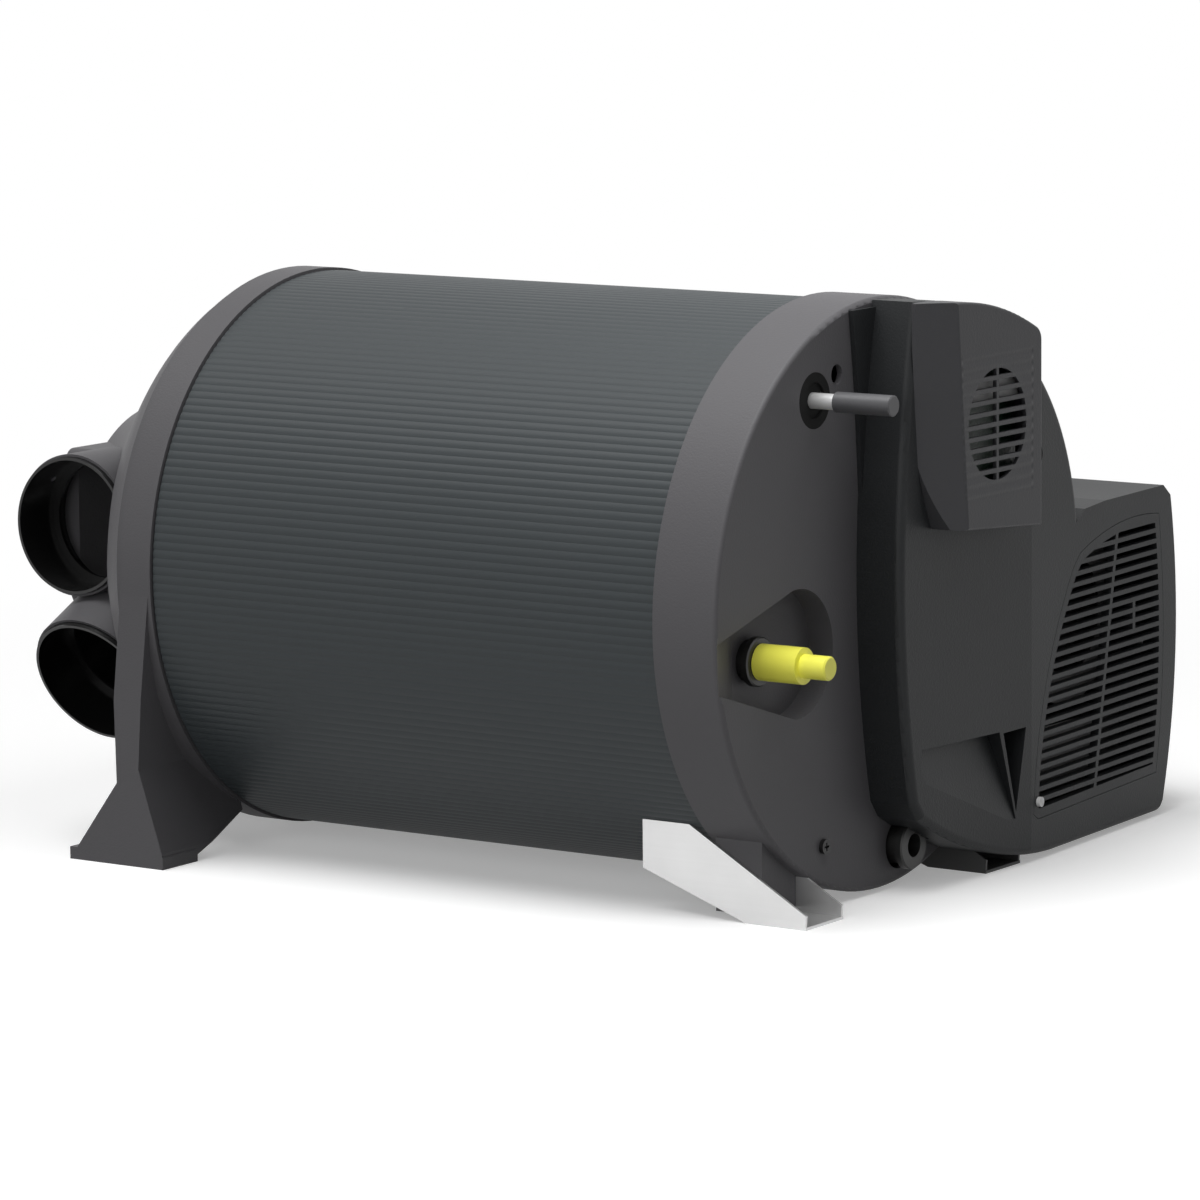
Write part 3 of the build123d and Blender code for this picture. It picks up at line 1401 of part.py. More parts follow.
def fan_box_shape(inset):
    """The fan box's outer shape for inset zero, or its hollow inside that wall."""
    bottom, right = on_housing(bottom_shares), on_housing(right_wall_shares)
    low = (fan_box_start_y, fan_box_low_share * box_height)
    with BuildPart() as body:
        with BuildSketch(section(fan_box_back_x + inset)):
            with BuildLine():
                Polyline(low, bottom[1], bottom[2], bottom[3])
                ThreePointArc(bottom[3], right[0], right[1])
                Polyline(right[1], right[2], (fan_box_start_y, box_height), low)
            make_face()
            if inset > 0:
                offset(amount=-inset)
        extrude(amount=box_depth - inset)
        if inset == 0:
            fillet(body.faces().sort_by(Axis.X)[0].edges(), housing_wall)
    return body


fan_box_outer, fan_box_inner = fan_box_shape(0), fan_box_shape(housing_wall)
with BuildPart() as fan_box:
    add(fan_box_outer.part)
    add(fan_box_inner.part, mode=Mode.SUBTRACT)
    with BuildSketch(across(fan_box_back_x)):
        Circle(burner_cover_radius + drum_gap)
    extrude(amount=box_depth, mode=Mode.SUBTRACT)
    with BuildSketch(across(fan_box_back_x + housing_wall, blower_y, blower_z)):
        Circle(pedestal_radius)
        Circle(pedestal_radius - housing_wall, mode=Mode.SUBTRACT)
    extrude(amount=blower_start - blower_motor_length - fan_box_back_x - housing_wall)
    with BuildSketch(sideways(1, flue_mid_x, flue_box_inner_y, flue_mid_z)):
        Rectangle(flue_box_width, flue_box_height)
    extrude(amount=flue_box_outer_y - flue_box_inner_y, mode=Mode.SUBTRACT)
save(fan_box, "fan_box")

# Electronics cover: the bevelled lid over the control board, with a round vent
electronics_wall = 2.2
electronics_edge = 1.5
electronics_left_shares = [(-0.046, 1.404), (-0.03, 1.247), (0.023, 1.039)]
electronics_right_share = (0.32, 1.006)
electronics_corner = 8
electronics_shoulder_lift = 5
electronics_top_y = -12
bevel_shares = [(-0.046, 1.67), (0.0075, 1.67), (0.046, 1.039)]
bevel_start = 2
vent_place = (40, 235)
vent_radius = 28
vent_pitch = 5.8
vent_slot = 3.5
vent_rows = 11
vent_bar = 2.2
cable_place_x = 35
cable_place_z = 215
cable_hole_radius = 7
electronics_face_x = housing_depth + electronics_depth
bevel_back, bevel_top, bevel_low = [
    Vector(x, *point)
    for x, point in zip(
        (housing_depth + bevel_start, electronics_face_x, electronics_face_x),
        on_housing(bevel_shares),
    )
]
bevel_along, bevel_across = bevel_top - bevel_low, bevel_top - bevel_back
bevel = Plane(origin=bevel_top, x_dir=-bevel_along, z_dir=bevel_across.cross(bevel_along))


def electronics_shape(inset):
    """The electronics cover's outer shape for inset zero, or its hollow inside that wall."""
    left = on_housing(electronics_left_shares)
    right = on_housing([electronics_right_share])[0]
    top = (electronics_top_y, axis_height + sqrt(housing_radius**2 - electronics_top_y**2))
    shoulder_z = axis_height + sqrt(housing_radius**2 - right[0] ** 2) + electronics_shoulder_lift
    shoulder = (right[0], shoulder_z)
    crown_y = (top[0] + shoulder[0]) / 2
    crown = (crown_y, axis_height + sqrt(housing_radius**2 - crown_y**2))
    with BuildPart() as body:
        with BuildSketch(section(housing_depth)) as outline:
            with BuildLine():
                Line(top, left[0])
                ThreePointArc(*left)
                Polyline(left[2], right, shoulder)
                ThreePointArc(shoulder, crown, top)
            make_face()
            fillet(outline.vertices().sort_by(Axis.X)[-2:].sort_by(Axis.Y)[-1], electronics_corner)
            if inset > 0:
                offset(amount=-inset)
        extrude(amount=electronics_depth - inset)
        split(bisect_by=bevel.offset(-inset), keep=Keep.BOTTOM)
        if inset == 0:
            fillet(body.faces().sort_by(Axis.X)[-1].edges(), electronics_edge)
    return body


electronics_outer, electronics_inner = electronics_shape(0), electronics_shape(electronics_wall)
with BuildPart() as electronics_cover:
    add(electronics_outer.part)
    add(electronics_inner.part, mode=Mode.SUBTRACT)
    with BuildSketch(section(electronics_face_x + overrun)):
        with Locations(vent_place):
            Circle(vent_radius)
            with GridLocations(1, vent_pitch, 1, vent_rows):
                Rectangle(2 * vent_radius, vent_pitch - vent_slot, mode=Mode.SUBTRACT)
            Rectangle(vent_bar, 2 * vent_radius, mode=Mode.SUBTRACT)
    extrude(amount=-electronics_wall - 2 * overrun, mode=Mode.SUBTRACT)
    with BuildSketch(sideways(1, cable_place_x, vent_place[0], cable_place_z)):
        Circle(cable_hole_radius)
    extrude(amount=box_width, mode=Mode.SUBTRACT)
save(electronics_cover, "electronics_cover")

# Electronics: a carrier on the housing, the control board on its posts, two terminal blocks and a grommet
board_low = (8, 188)
board_high = (78, 262)
carrier_thickness = 2
post_height = 3
post_radius = 3
post_inset = 6
board_thickness = 1.6
board_margin = 2
terminal_width = 46
terminal_height = 9
terminal_depth = 7.4
terminal_shares = [0.14, 0.86]
cable_flange = 2
cable_bore_radius = 4.5
electronics_right_y = electronics_right_share[0] * box_width
board_width, board_height = board_high[0] - board_low[0], board_high[1] - board_low[1]
board_mid = ((board_low[0] + board_high[0]) / 2, (board_low[1] + board_high[1]) / 2)
board_x = housing_depth + carrier_thickness + post_height
with BuildPart() as board_carrier:
    with BuildSketch(across(housing_depth, *board_mid)):
        Rectangle(board_width, board_height)
    extrude(amount=carrier_thickness)
    with BuildSketch(across(housing_depth + carrier_thickness, *board_mid)):
        with GridLocations(board_width - 2 * post_inset, board_height - 2 * post_inset, 2, 2):
            Circle(post_radius)
    extrude(amount=post_height)
save(board_carrier, "board_carrier")
with BuildPart() as control_board:
    with BuildSketch(across(board_x, *board_mid)):
        Rectangle(board_width - 2 * board_margin, board_height - 2 * board_margin)
    extrude(amount=board_thickness)
save(control_board, "control_board")
with BuildPart() as terminal_blocks:
    with BuildSketch(section(board_x + board_thickness)):
        for share in terminal_shares:
            with Locations((board_mid[0], board_low[1] + share * board_height)):
                Rectangle(terminal_width, terminal_height)
    extrude(amount=terminal_depth)
save(terminal_blocks, "terminal_blocks")
with BuildPart() as cable_grommet:
    with BuildSketch(sideways(1, cable_place_x, electronics_right_y - electronics_wall, cable_place_z)):
        Circle(cable_hole_radius)
    extrude(amount=electronics_wall)
    with BuildSketch(sideways(1, cable_place_x, electronics_right_y, cable_place_z)):
        Circle(cable_hole_radius + cable_flange / 2)
    extrude(amount=cable_flange)
    with BuildSketch(sideways(1, cable_place_x, electronics_right_y - electronics_wall, cable_place_z)):
        Circle(cable_bore_radius)
    extrude(amount=electronics_wall + cable_flange, mode=Mode.SUBTRACT)
save(cable_grommet, "cable_grommet")

# Foot brackets: folded sheet channels under the burner end, one the mirror of the other
bracket_tip_x = 20.5
bracket_web_start = -14.2
bracket_shares = [(0, 0.98), (0.23, 1), (1, 0.144), (0.995, 0), (0.637, 0), (0, 0.44)]
bracket_back_x = -75
bracket_height = 49.3
bracket_gap = 0.3
bracket_length = bracket_tip_x - bracket_back_x


def bracket(side):
    """The foot bracket of one side: two shaped walls on a floor plate, cut back round the drum."""
    with BuildPart() as body:
        for wall_y in (-bracket_width / 2, bracket_width / 2 - bracket_sheet):
            with BuildSketch(sideways(1, 0, side * bracket_centre_y + wall_y, 0)):
                with BuildLine():
                    points = sized(bracket_shares, bracket_length, bracket_height)
                    Polyline(*[(-bracket_back_x - x, z) for x, z in points], close=True)
                make_face()
            extrude(amount=bracket_sheet)
        with BuildSketch(Plane.XY):
            with Locations(((bracket_web_start + bracket_tip_x) / 2, side * bracket_centre_y)):
                Rectangle(bracket_tip_x - bracket_web_start, bracket_width)
        extrude(amount=bracket_sheet)
        with BuildSketch(Plane.XY.offset(-overrun)):
            with Locations((0, side * bracket_centre_y)):
                Circle(floor_hole_radius)
        extrude(amount=bracket_sheet + 2 * overrun, mode=Mode.SUBTRACT)
        with BuildSketch(across(bracket_back_x - overrun)):
            Circle(jacket_radius + bracket_gap)
        extrude(amount=bracket_length, mode=Mode.SUBTRACT)
        with BuildSketch(across(-burner_band_width - bracket_gap)):
            Circle(burner_cover_radius + bracket_gap)
        extrude(amount=burner_band_width + 2 * bracket_gap, mode=Mode.SUBTRACT)
        with BuildSketch(sideways(-side, bracket_screw_x, -bracket_centre_y, bracket_screw_z)):
            Circle(screw_radius + screw_clearance)
        extrude(amount=bracket_width, mode=Mode.SUBTRACT)
    return body


front_foot_bracket = bracket(-1)
save(front_foot_bracket, "front_foot_bracket")
rear_foot_bracket = bracket(1)
save(rear_foot_bracket, "rear_foot_bracket")
bracket_inner_y = bracket_centre_y - bracket_width / 2
bracket_screws = screws(
    [sideways(-side, bracket_screw_x, -bracket_inner_y, bracket_screw_z) for side in (-1, 1)],
    bracket_screw_length,
)
save(bracket_screws, "bracket_screws")
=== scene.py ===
import json
import math
import bpy
import numpy as np
from mathutils import Matrix, Vector


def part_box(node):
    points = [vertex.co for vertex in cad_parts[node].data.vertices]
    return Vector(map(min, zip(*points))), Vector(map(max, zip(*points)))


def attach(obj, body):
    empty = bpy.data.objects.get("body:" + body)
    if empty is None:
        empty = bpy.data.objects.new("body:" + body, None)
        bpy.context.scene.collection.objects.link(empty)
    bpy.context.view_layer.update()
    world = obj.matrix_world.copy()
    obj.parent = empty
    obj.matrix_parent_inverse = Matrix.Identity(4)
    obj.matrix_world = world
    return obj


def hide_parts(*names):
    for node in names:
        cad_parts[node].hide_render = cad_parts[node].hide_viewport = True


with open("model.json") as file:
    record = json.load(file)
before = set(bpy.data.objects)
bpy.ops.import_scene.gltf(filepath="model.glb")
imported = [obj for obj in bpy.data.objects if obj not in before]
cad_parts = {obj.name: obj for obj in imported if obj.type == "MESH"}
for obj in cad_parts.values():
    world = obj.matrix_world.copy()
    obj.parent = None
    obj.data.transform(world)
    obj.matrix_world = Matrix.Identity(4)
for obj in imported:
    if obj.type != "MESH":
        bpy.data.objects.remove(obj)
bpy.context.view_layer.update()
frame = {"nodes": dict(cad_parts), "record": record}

# Camera, fitted to the photograph: angles in degrees, place in metres, sensor in millimetres
IMAGE_SIDE = 1200
FOCAL_PIXELS = 5974
SENSOR_WIDTH = 36
CAMERA_AZIMUTH = 34.65
CAMERA_ELEVATION = 8.47
CAMERA_ROLL = -0.54
CAMERA_PLACE = (1.5587, -2.5010, 0.5878)

# Lamps: suns with the direction they shine from and their width in degrees, a softbox in metres
WORLD_STRENGTH = 0.12
KEY_STRENGTH = 1.85
KEY_FROM = (-0.35, -0.45, 1.5)
KEY_ANGLE = 40
FILL_STRENGTH = 1.1
FILL_FROM = (0.12, -1.0, 0.15)
FILL_ANGLE = 60
SOFTBOX_POWER = 2.6
SOFTBOX_PLACE = (0.08, -0.15, 0.72)
SOFTBOX_SIZE = 0.6

# Floor, in metres from the origin
FLOOR_HALF = 30.0
FLOOR_GREY = 0.86
FLOOR_UNSEEN_GREY = 0.25
FLOOR_LIFT = 0.29
FLOOR_FADE_START = 0.55
FLOOR_FADE_END = 1.2

# Mouldings: noise scales per metre, height of the grain in metres, swing of the gloss
DRIFT_SCALE = 7.0
GRAIN_SCALE = 900.0
GRAIN_DETAIL = 2.0
GRAIN_HEIGHT = 0.00012
MOULDED_SPECULAR = 0.3
MOULDED_GLOSS_SPREAD = 0.12
MOULDED_GLOSS_DROP = 0.06

# Ribbing round the electronics vent, in metres
VENT_Y = 0.040
VENT_Z = 0.235
VENT_HALF_WIDTH = 0.034
VENT_HALF_HEIGHT = 0.036
VENT_EDGE = 0.002
VENT_PITCH = 0.0058
VENT_RIB_HEIGHT = 0.0003
VENT_FACE_X = 0.0435
VENT_FACE_EDGE = 0.0004

# Rolled or drawn metal
STREAK_STRETCH = (4.0, 400.0, 400.0)
STREAK_DETAIL = 4.0
STREAK_HEIGHT = 0.00008
STREAK_GLOSS_SPREAD = 0.15
STREAK_GLOSS_DROP = 0.07
CLOUD_SCALE = 30.0
CLOUD_SHADE = 0.86

# Even finishes
PLAIN_SCALE = 60.0
PLAIN_GLOSS_SPREAD = 0.1
PLAIN_GLOSS_DROP = 0.05

# Foam and lacquered boards
SPOT_DETAIL = 4.0
SPOT_HEIGHT = 0.0003
SPOT_FIRST_STOP = 0.42
SPOT_SECOND_STOP = 0.58

# Socket numbers of the Mix node when it mixes colours
MIX_FIRST_COLOUR = 6
MIX_SECOND_COLOUR = 7
MIX_RESULT = 2

# Jacket: ribs round the drum, straight steps in each rib, their depth and the wall in metres
RIB_COUNT = 212
RIB_STEPS = 8
RIB_DEPTH = 0.0003
JACKET_WALL = 0.0014


def camera_axes():
    """The camera's right, up and back directions, from the view's azimuth a and elevation e:
    back is (sin a cos e, -cos a cos e, sin e) and right is (cos a, sin a, 0).
    The roll then turns right and up about back."""
    a, e, r = (math.radians(v) for v in (CAMERA_AZIMUTH, CAMERA_ELEVATION, CAMERA_ROLL))
    back = Vector((math.sin(a) * math.cos(e), -math.cos(a) * math.cos(e), math.sin(e)))
    right = Vector((math.cos(a), math.sin(a), 0.0))
    up = back.cross(right)
    turned_right = right * math.cos(r) + up * math.sin(r)
    turned_up = up * math.cos(r) - right * math.sin(r)
    return turned_right, turned_up, back


def add_camera():
    """A long lens at the photograph's place, with no shift and no depth of field."""
    lens = bpy.data.cameras.new("photo_camera")
    lens.sensor_width = SENSOR_WIDTH
    lens.sensor_fit = "HORIZONTAL"
    lens.lens = FOCAL_PIXELS / IMAGE_SIDE * SENSOR_WIDTH
    lens.clip_end = 2 * FLOOR_HALF
    camera = bpy.data.objects.new("photo_camera", lens)
    bpy.context.scene.collection.objects.link(camera)
    turn = Matrix(camera_axes()).transposed().to_4x4()
    camera.matrix_world = Matrix.Translation(CAMERA_PLACE) @ turn
    bpy.context.scene.camera = camera


class Value:
    """A number on a surface: a socket whose arithmetic adds Math nodes."""

    def __init__(self, kit, socket):
        self.kit, self.socket = kit, socket

    def math(self, operation, *others):
        sockets = dict(enumerate((self, *others)))
        return self.kit.node("ShaderNodeMath", {"operation": operation}, sockets).out()

    def __add__(self, other):
        return self.math("ADD", other)

    def __sub__(self, other):
        return self.math("SUBTRACT", other)

    def __rsub__(self, other):
        sockets = {0: other, 1: self}
        return self.kit.node("ShaderNodeMath", {"operation": "SUBTRACT"}, sockets).out()

    def __mul__(self, other):
        return self.math("MULTIPLY", other)

    def __truediv__(self, other):
        return self.math("DIVIDE", other)

    def below(self, edge, width):
        """1 below the edge, 0 above it, with a straight ramp of that width between:
        (edge - value) / width + 1/2, held from 0 to 1."""
        return ((edge - self) / width + 0.5).math("MAXIMUM", 0.0).math("MINIMUM", 1.0)


class Node:
    """A node whose outputs are taken by name or number."""

    def __init__(self, kit, node):
        self.kit, self.node = kit, node

    def out(self, key=0):
        return Value(self.kit, self.node.outputs[key])


class Kit:
    """A node tree, with one method that adds any node from its type, its settings
    and its sockets' values, and short names for the nodes used most."""

    def __init__(self, tree):
        self.tree = tree
        tree.nodes.clear()

    def node(self, kind, settings=None, sockets=None):
        """Any node: a socket whose value is a Value is linked, and any other is set."""
        node = self.tree.nodes.new(kind)
        for key, value in (settings or {}).items():
            setattr(node, key, value)
        for key, value in (sockets or {}).items():
            if isinstance(value, Value):
                self.tree.links.new(value.socket, node.inputs[key])
            else:
                node.inputs[key].default_value = value
        return Node(self, node)

    def place(self):
        """Object coordinates: the vector, then x, y and z."""
        vector = self.node("ShaderNodeTexCoord").out("Object")
        parts = self.node("ShaderNodeSeparateXYZ", None, {0: vector})
        return vector, parts.out(0), parts.out(1), parts.out(2)

    def seen(self):
        """1 for camera, glossy and transmitted rays, and 0 for the rays that only carry light."""
        path = self.node("ShaderNodeLightPath")
        camera, glossy, transmitted = (
            path.out(f"Is {kind} Ray") for kind in ("Camera", "Glossy", "Transmission")
        )
        return camera.math("MAXIMUM", glossy).math("MAXIMUM", transmitted)

    def mix(self, factor, first, second):
        """A colour between two others."""
        sockets = {"Factor": factor, MIX_FIRST_COLOUR: first, MIX_SECOND_COLOUR: second}
        return self.node("ShaderNodeMix", {"data_type": "RGBA"}, sockets).out(MIX_RESULT)

    def noise(self, vector, scale, detail=3.0):
        """Noise from 0 to 1, of that scale per metre and that many octaves."""
        sockets = {"Vector": vector, "Scale": scale, "Detail": detail}
        return self.node("ShaderNodeTexNoise", None, sockets).out()

    def bump(self, height, distance):
        """A normal tilted by the slope of height * distance, in metres."""
        return self.node("ShaderNodeBump", None, {"Height": height, "Distance": distance}).out()

    def steps(self, value, stops):
        """A colour read at a value between two stops, each a place and a colour."""
        ramp = self.node("ShaderNodeValToRGB", None, {0: value})
        for stop, (place, colour) in zip(ramp.node.color_ramp.elements, stops):
            stop.position, stop.color = place, colour
        return ramp.out()

    def finish(self, **sockets):
        """A Principled shader with these sockets, wired to the material's output."""
        names = {
            key.replace("_", " ").title().replace("Ior", "IOR"): value
            for key, value in sockets.items()
        }
        shader = self.node("ShaderNodeBsdfPrincipled", None, names)
        self.node("ShaderNodeOutputMaterial", None, {"Surface": shader.out()})


def grey(level, tint=(0.0, 0.0, 0.0)):
    """A colour of that level, shifted by a small tint, with full alpha."""
    return tuple(level + shift for shift in tint) + (1.0,)


def new_material(name):
    material = bpy.data.materials.new(name)
    material.use_nodes = True
    return material, Kit(material.node_tree)


def moulded(
    name, levels, tint, roughness, grain=GRAIN_HEIGHT, specular=MOULDED_SPECULAR, vent=False
):
    """A grained moulding: fine noise in its height, and a slow drift between two greys and two
    gloss levels. Round the vent, the height also follows sin(2 pi (z - VENT_Z) / VENT_PITCH)."""
    material, kit = new_material(name)
    vector, x, y, z = kit.place()
    drift = kit.noise(vector, DRIFT_SCALE)
    height = kit.noise(vector, GRAIN_SCALE, GRAIN_DETAIL) * grain
    if vent:
        inside = (
            (y - VENT_Y).math("ABSOLUTE").below(VENT_HALF_WIDTH, VENT_EDGE)
            * (z - VENT_Z).math("ABSOLUTE").below(VENT_HALF_HEIGHT, VENT_EDGE)
            * (1 - x.below(VENT_FACE_X, VENT_FACE_EDGE))
        )
        waves = ((z - VENT_Z) * (2 * math.pi / VENT_PITCH)).math("SINE")
        height = height + inside * waves * VENT_RIB_HEIGHT
    kit.finish(
        base_color=kit.mix(drift, *(grey(level, tint) for level in levels)),
        roughness=drift * MOULDED_GLOSS_SPREAD + (roughness - MOULDED_GLOSS_DROP),
        specular_ior_level=specular,
        normal=kit.bump(height, 1.0),
    )
    return material


def sheet_metal(name, colour, roughness):
    """Rolled or drawn metal: noise stretched along X, which moves the gloss and the height
    a little, and a cloudy drift of the colour."""
    material, kit = new_material(name)
    vector = kit.place()[0]
    sockets = {"Vector": vector, "Scale": STREAK_STRETCH}
    streak = kit.noise(kit.node("ShaderNodeMapping", None, sockets).out(), 1.0, STREAK_DETAIL)
    shaded = tuple(CLOUD_SHADE * c for c in colour[:3]) + (1.0,)
    kit.finish(
        base_color=kit.mix(kit.noise(vector, CLOUD_SCALE), colour, shaded),
        metallic=1.0,
        roughness=streak * STREAK_GLOSS_SPREAD + (roughness - STREAK_GLOSS_DROP),
        normal=kit.bump(streak, STREAK_HEIGHT),
    )
    return material


def plain(name, colour, roughness, specular=0.5, metallic=0.0):
    """An even finish with a faint drift of its gloss."""
    material, kit = new_material(name)
    drift = kit.noise(kit.place()[0], PLAIN_SCALE)
    kit.finish(
        base_color=colour,
        metallic=metallic,
        roughness=drift * PLAIN_GLOSS_SPREAD + (roughness - PLAIN_GLOSS_DROP),
        specular_ior_level=specular,
    )
    return material


def spotted(name, colour, second, scale, roughness):
    """A surface of two colours in small spots, such as foam or a lacquered board."""
    material, kit = new_material(name)
    spots = kit.noise(kit.place()[0], scale, SPOT_DETAIL)
    stops = [(SPOT_FIRST_STOP, colour), (SPOT_SECOND_STOP, second)]
    kit.finish(
        base_color=kit.steps(spots, stops),
        roughness=roughness,
        normal=kit.bump(spots, SPOT_HEIGHT),
    )
    return material


materials = {
    "jacket_grey": moulded(
        "jacket paint", levels=(0.031, 0.038), tint=(-0.004, 0.002, 0.005),
        roughness=0.5, grain=0.00004,
    ),
    "cover_grey": moulded(
        "cover moulding", levels=(0.072, 0.084), tint=(0.0, -0.002, 0.003), roughness=0.55
    ),
    "housing_grey": moulded(
        "housing moulding", levels=(0.010, 0.013), tint=(0.0, 0.001, 0.002),
        roughness=0.5, specular=0.22,
    ),
    "electronics": moulded(
        "electronics moulding", levels=(0.028, 0.034), tint=(0.0, 0.0, 0.003),
        roughness=0.5, vent=True,
    ),
    "outlet_black": plain("duct socket black", grey(0.006), roughness=0.22),
    "bare_sheet": sheet_metal("galvanised sheet", grey(0.66), roughness=0.42),
    "stainless": sheet_metal("stainless sheet", grey(0.62), roughness=0.3),
    "cast_aluminium": plain("cast aluminium", grey(0.55), roughness=0.5, metallic=1.0),
    "foam": spotted("grey foam", grey(0.3), grey(0.22), scale=300.0, roughness=0.9),
    "soft_rubber": plain("soft rubber", grey(0.004), roughness=0.8, specular=0.15),
    "plug_yellow": plain("plug yellow", (1.0, 0.97, 0.12, 1.0), roughness=0.35),
    "fitting_black": plain("fitting black", grey(0.010), roughness=0.4),
    "fan_grey": plain("fan moulding", grey(0.03), roughness=0.5),
    "motor_metal": sheet_metal("motor can", grey(0.4), roughness=0.35),
    # The board's own green is darkened to near black as painted shade for its place inside the
    # housing, behind the electronics vent
    "board_green": spotted(
        "circuit board with painted shade", (0.002, 0.012, 0.005, 1.0), (0.003, 0.02, 0.008, 1.0),
        scale=500.0, roughness=0.35,
    ),
    "terminal_grey": plain("terminal moulding", grey(0.4), roughness=0.5),
    "cap_grey": plain("cap sleeve", grey(0.055, (0.0, 0.0, 0.004)), roughness=0.45),
    "screw_zinc": sheet_metal("zinc screw", grey(0.45), roughness=0.35),
    "dark_screw": sheet_metal("dark screw", grey(0.05), roughness=0.4),
    "sensor_white": plain("sensor bead", grey(0.85), roughness=0.35),
    "brass": sheet_metal("probe brass", (0.6, 0.42, 0.16, 1.0), roughness=0.35),
    # The pipe's base colour is raised to near white as a painted highlight, in place of the glint
    # on its polished metal
    "pipe_painted_highlight": plain("polished pipe with painted highlight", grey(0.85), roughness=0.25, metallic=0.5),
    # Near-black grey for the rear foot bracket's galvanised steel: painted shade and painted dark
    # reflection, since its tip sits in shadow
    "painted_shade_sheet": plain("sheet with painted shade", grey(0.035), roughness=0.45),
}

# Pieces that look different from the others in their material slot
OWN_FINISHES = {
    "electronics_cover": "electronics",
    # The gas pipe's pale colour is a painted highlight
    "gas_pipe": "pipe_painted_highlight",
    # The rear foot bracket's steel is painted dark as painted shade
    "rear_foot_bracket": "painted_shade_sheet",
}
slot_of = {part["node"]: part["material_slot"] for part in frame["record"]["subparts"]}
for node, piece in frame["nodes"].items():
    finish = OWN_FINISHES.get(node, slot_of[node])
    for material_slot in piece.material_slots:
        material_slot.material = materials[finish]


def add_mesh(name, points, faces):
    """A flat-shaded mesh object at the origin from an array of points and an array of quads."""
    mesh = bpy.data.meshes.new(name)
    mesh.from_pydata(points.tolist(), [], faces.tolist(), shade_flat=True)
    mesh.update()
    piece = bpy.data.objects.new(name, mesh)
    bpy.context.scene.collection.objects.link(piece)
    return piece


def ring_quads(rows, columns):
    """Quads of a grid that closes on itself both ways, in rows of that many columns."""
    i, j = np.meshgrid(np.arange(rows), np.arange(columns), indexing="ij")
    below, beside = (i + 1) % rows, (j + 1) % columns
    corners = (
        i * columns + j, below * columns + j, below * columns + beside, i * columns + beside
    )
    return np.stack([c.ravel() for c in corners], axis=1)


def ribbed_jacket():
    """A tube with ribs along it. The outer radius at angle t is
    R - depth * (1 - |cos(count * t / 2)|), so that each rib is round and each groove between
    two ribs is sharp. The section is the outer surface from end to end and the inner one back,
    carried once round the drum's axis."""
    low, high = (np.array(c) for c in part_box("outer_jacket"))
    axis_z = (low[2] + high[2]) / 2
    radius = (high[2] - low[2]) / 2
    count = RIB_COUNT * RIB_STEPS
    turn = np.arange(count) * 2 * np.pi / count
    rib = radius - RIB_DEPTH * (1 - np.abs(np.cos(RIB_COUNT * turn / 2)))
    inner = np.full(count, radius - JACKET_WALL)
    rows = [(low[0], rib), (high[0], rib), (high[0], inner), (low[0], inner)]
    points = np.concatenate([
        np.stack([np.full(count, x), r * np.sin(turn), axis_z + r * np.cos(turn)], axis=1)
        for x, r in rows
    ])
    return add_mesh("ribbed_jacket", points, ring_quads(len(rows), count))


jacket = ribbed_jacket()
jacket.data.materials.append(materials["jacket_grey"])
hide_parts("outer_jacket")
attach(jacket, "heater")


def add_sun(name, strength, start, angle):
    """A soft sun that shines from a direction."""
    light = bpy.data.lights.new(name, "SUN")
    light.energy = strength
    light.angle = math.radians(angle)
    lamp = bpy.data.objects.new(name, light)
    lamp.rotation_euler = Vector(start).to_track_quat("Z", "Y").to_euler()
    bpy.context.scene.collection.objects.link(lamp)


def add_softbox():
    """A square lamp that hangs over the heater and faces straight down."""
    light = bpy.data.lights.new("softbox", "AREA")
    light.energy = SOFTBOX_POWER
    light.size = SOFTBOX_SIZE
    lamp = bpy.data.objects.new("softbox", light)
    lamp.location = SOFTBOX_PLACE
    bpy.context.scene.collection.objects.link(lamp)


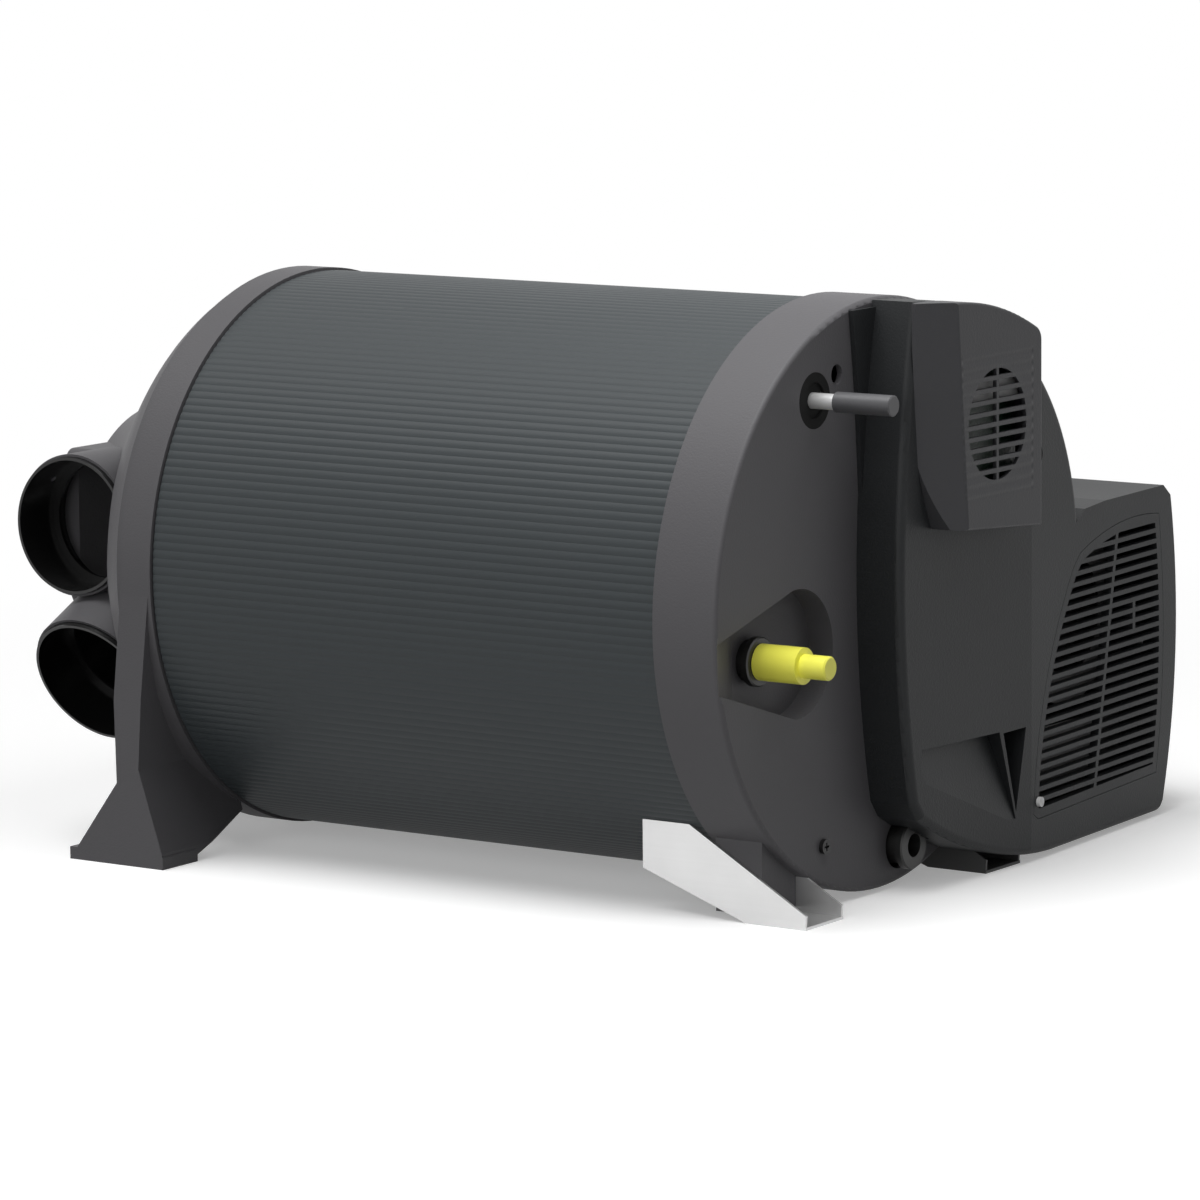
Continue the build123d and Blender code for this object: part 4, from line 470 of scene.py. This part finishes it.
def add_world():
    """An even sky that lights weakly but looks white where it is seen."""
    world = bpy.data.worlds.new("studio")
    bpy.context.scene.world = world
    world.use_nodes = True
    kit = Kit(world.node_tree)
    strength = kit.seen() * (1 - WORLD_STRENGTH) + WORLD_STRENGTH
    sky = kit.node("ShaderNodeBackground", None, {"Color": grey(1.0), "Strength": strength})
    kit.node("ShaderNodeOutputWorld", None, {"Surface": sky.out()})


def add_floor():
    """A pale floor that keeps the shadow near the heater and fades to white away from it.
    It is darker for the rays that only carry light, so that it throws little light back up."""
    size = FLOOR_HALF
    corners = [(-size, -size, 0.0), (size, -size, 0.0), (size, size, 0.0), (-size, size, 0.0)]
    floor = add_mesh("floor", np.array(corners), np.array([[0, 1, 2, 3]]))
    material, kit = new_material("pale floor")
    x, y = kit.place()[1:3]
    seen = kit.seen()
    reach = (x * x + y * y).math("SQRT")
    fade_middle = (FLOOR_FADE_START + FLOOR_FADE_END) / 2
    far = 1 - reach.below(fade_middle, FLOOR_FADE_END - FLOOR_FADE_START)
    pale = kit.node("ShaderNodeBsdfDiffuse", None, {"Color": grey(FLOOR_GREY)}).out()
    dim = kit.node("ShaderNodeBsdfDiffuse", None, {"Color": grey(FLOOR_UNSEEN_GREY)}).out()
    matt = kit.node("ShaderNodeMixShader", None, {0: seen, 1: dim, 2: pale}).out()
    glow = {"Color": grey(1.0), "Strength": seen * FLOOR_LIFT}
    lift = kit.node("ShaderNodeEmission", None, glow).out()
    near = kit.node("ShaderNodeAddShader", None, {0: matt, 1: lift}).out()
    white = kit.node("ShaderNodeEmission", None, {"Color": grey(1.0), "Strength": 1.0}).out()
    mixed = kit.node("ShaderNodeMixShader", None, {0: far * seen, 1: near, 2: white})
    kit.node("ShaderNodeOutputMaterial", None, {"Surface": mixed.out()})
    floor.data.materials.append(material)


add_camera()
add_world()
add_sun("key_light", KEY_STRENGTH, KEY_FROM, KEY_ANGLE)
add_sun("fill_light", FILL_STRENGTH, FILL_FROM, FILL_ANGLE)
add_softbox()
add_floor()
bpy.context.scene.view_settings.view_transform = "Standard"
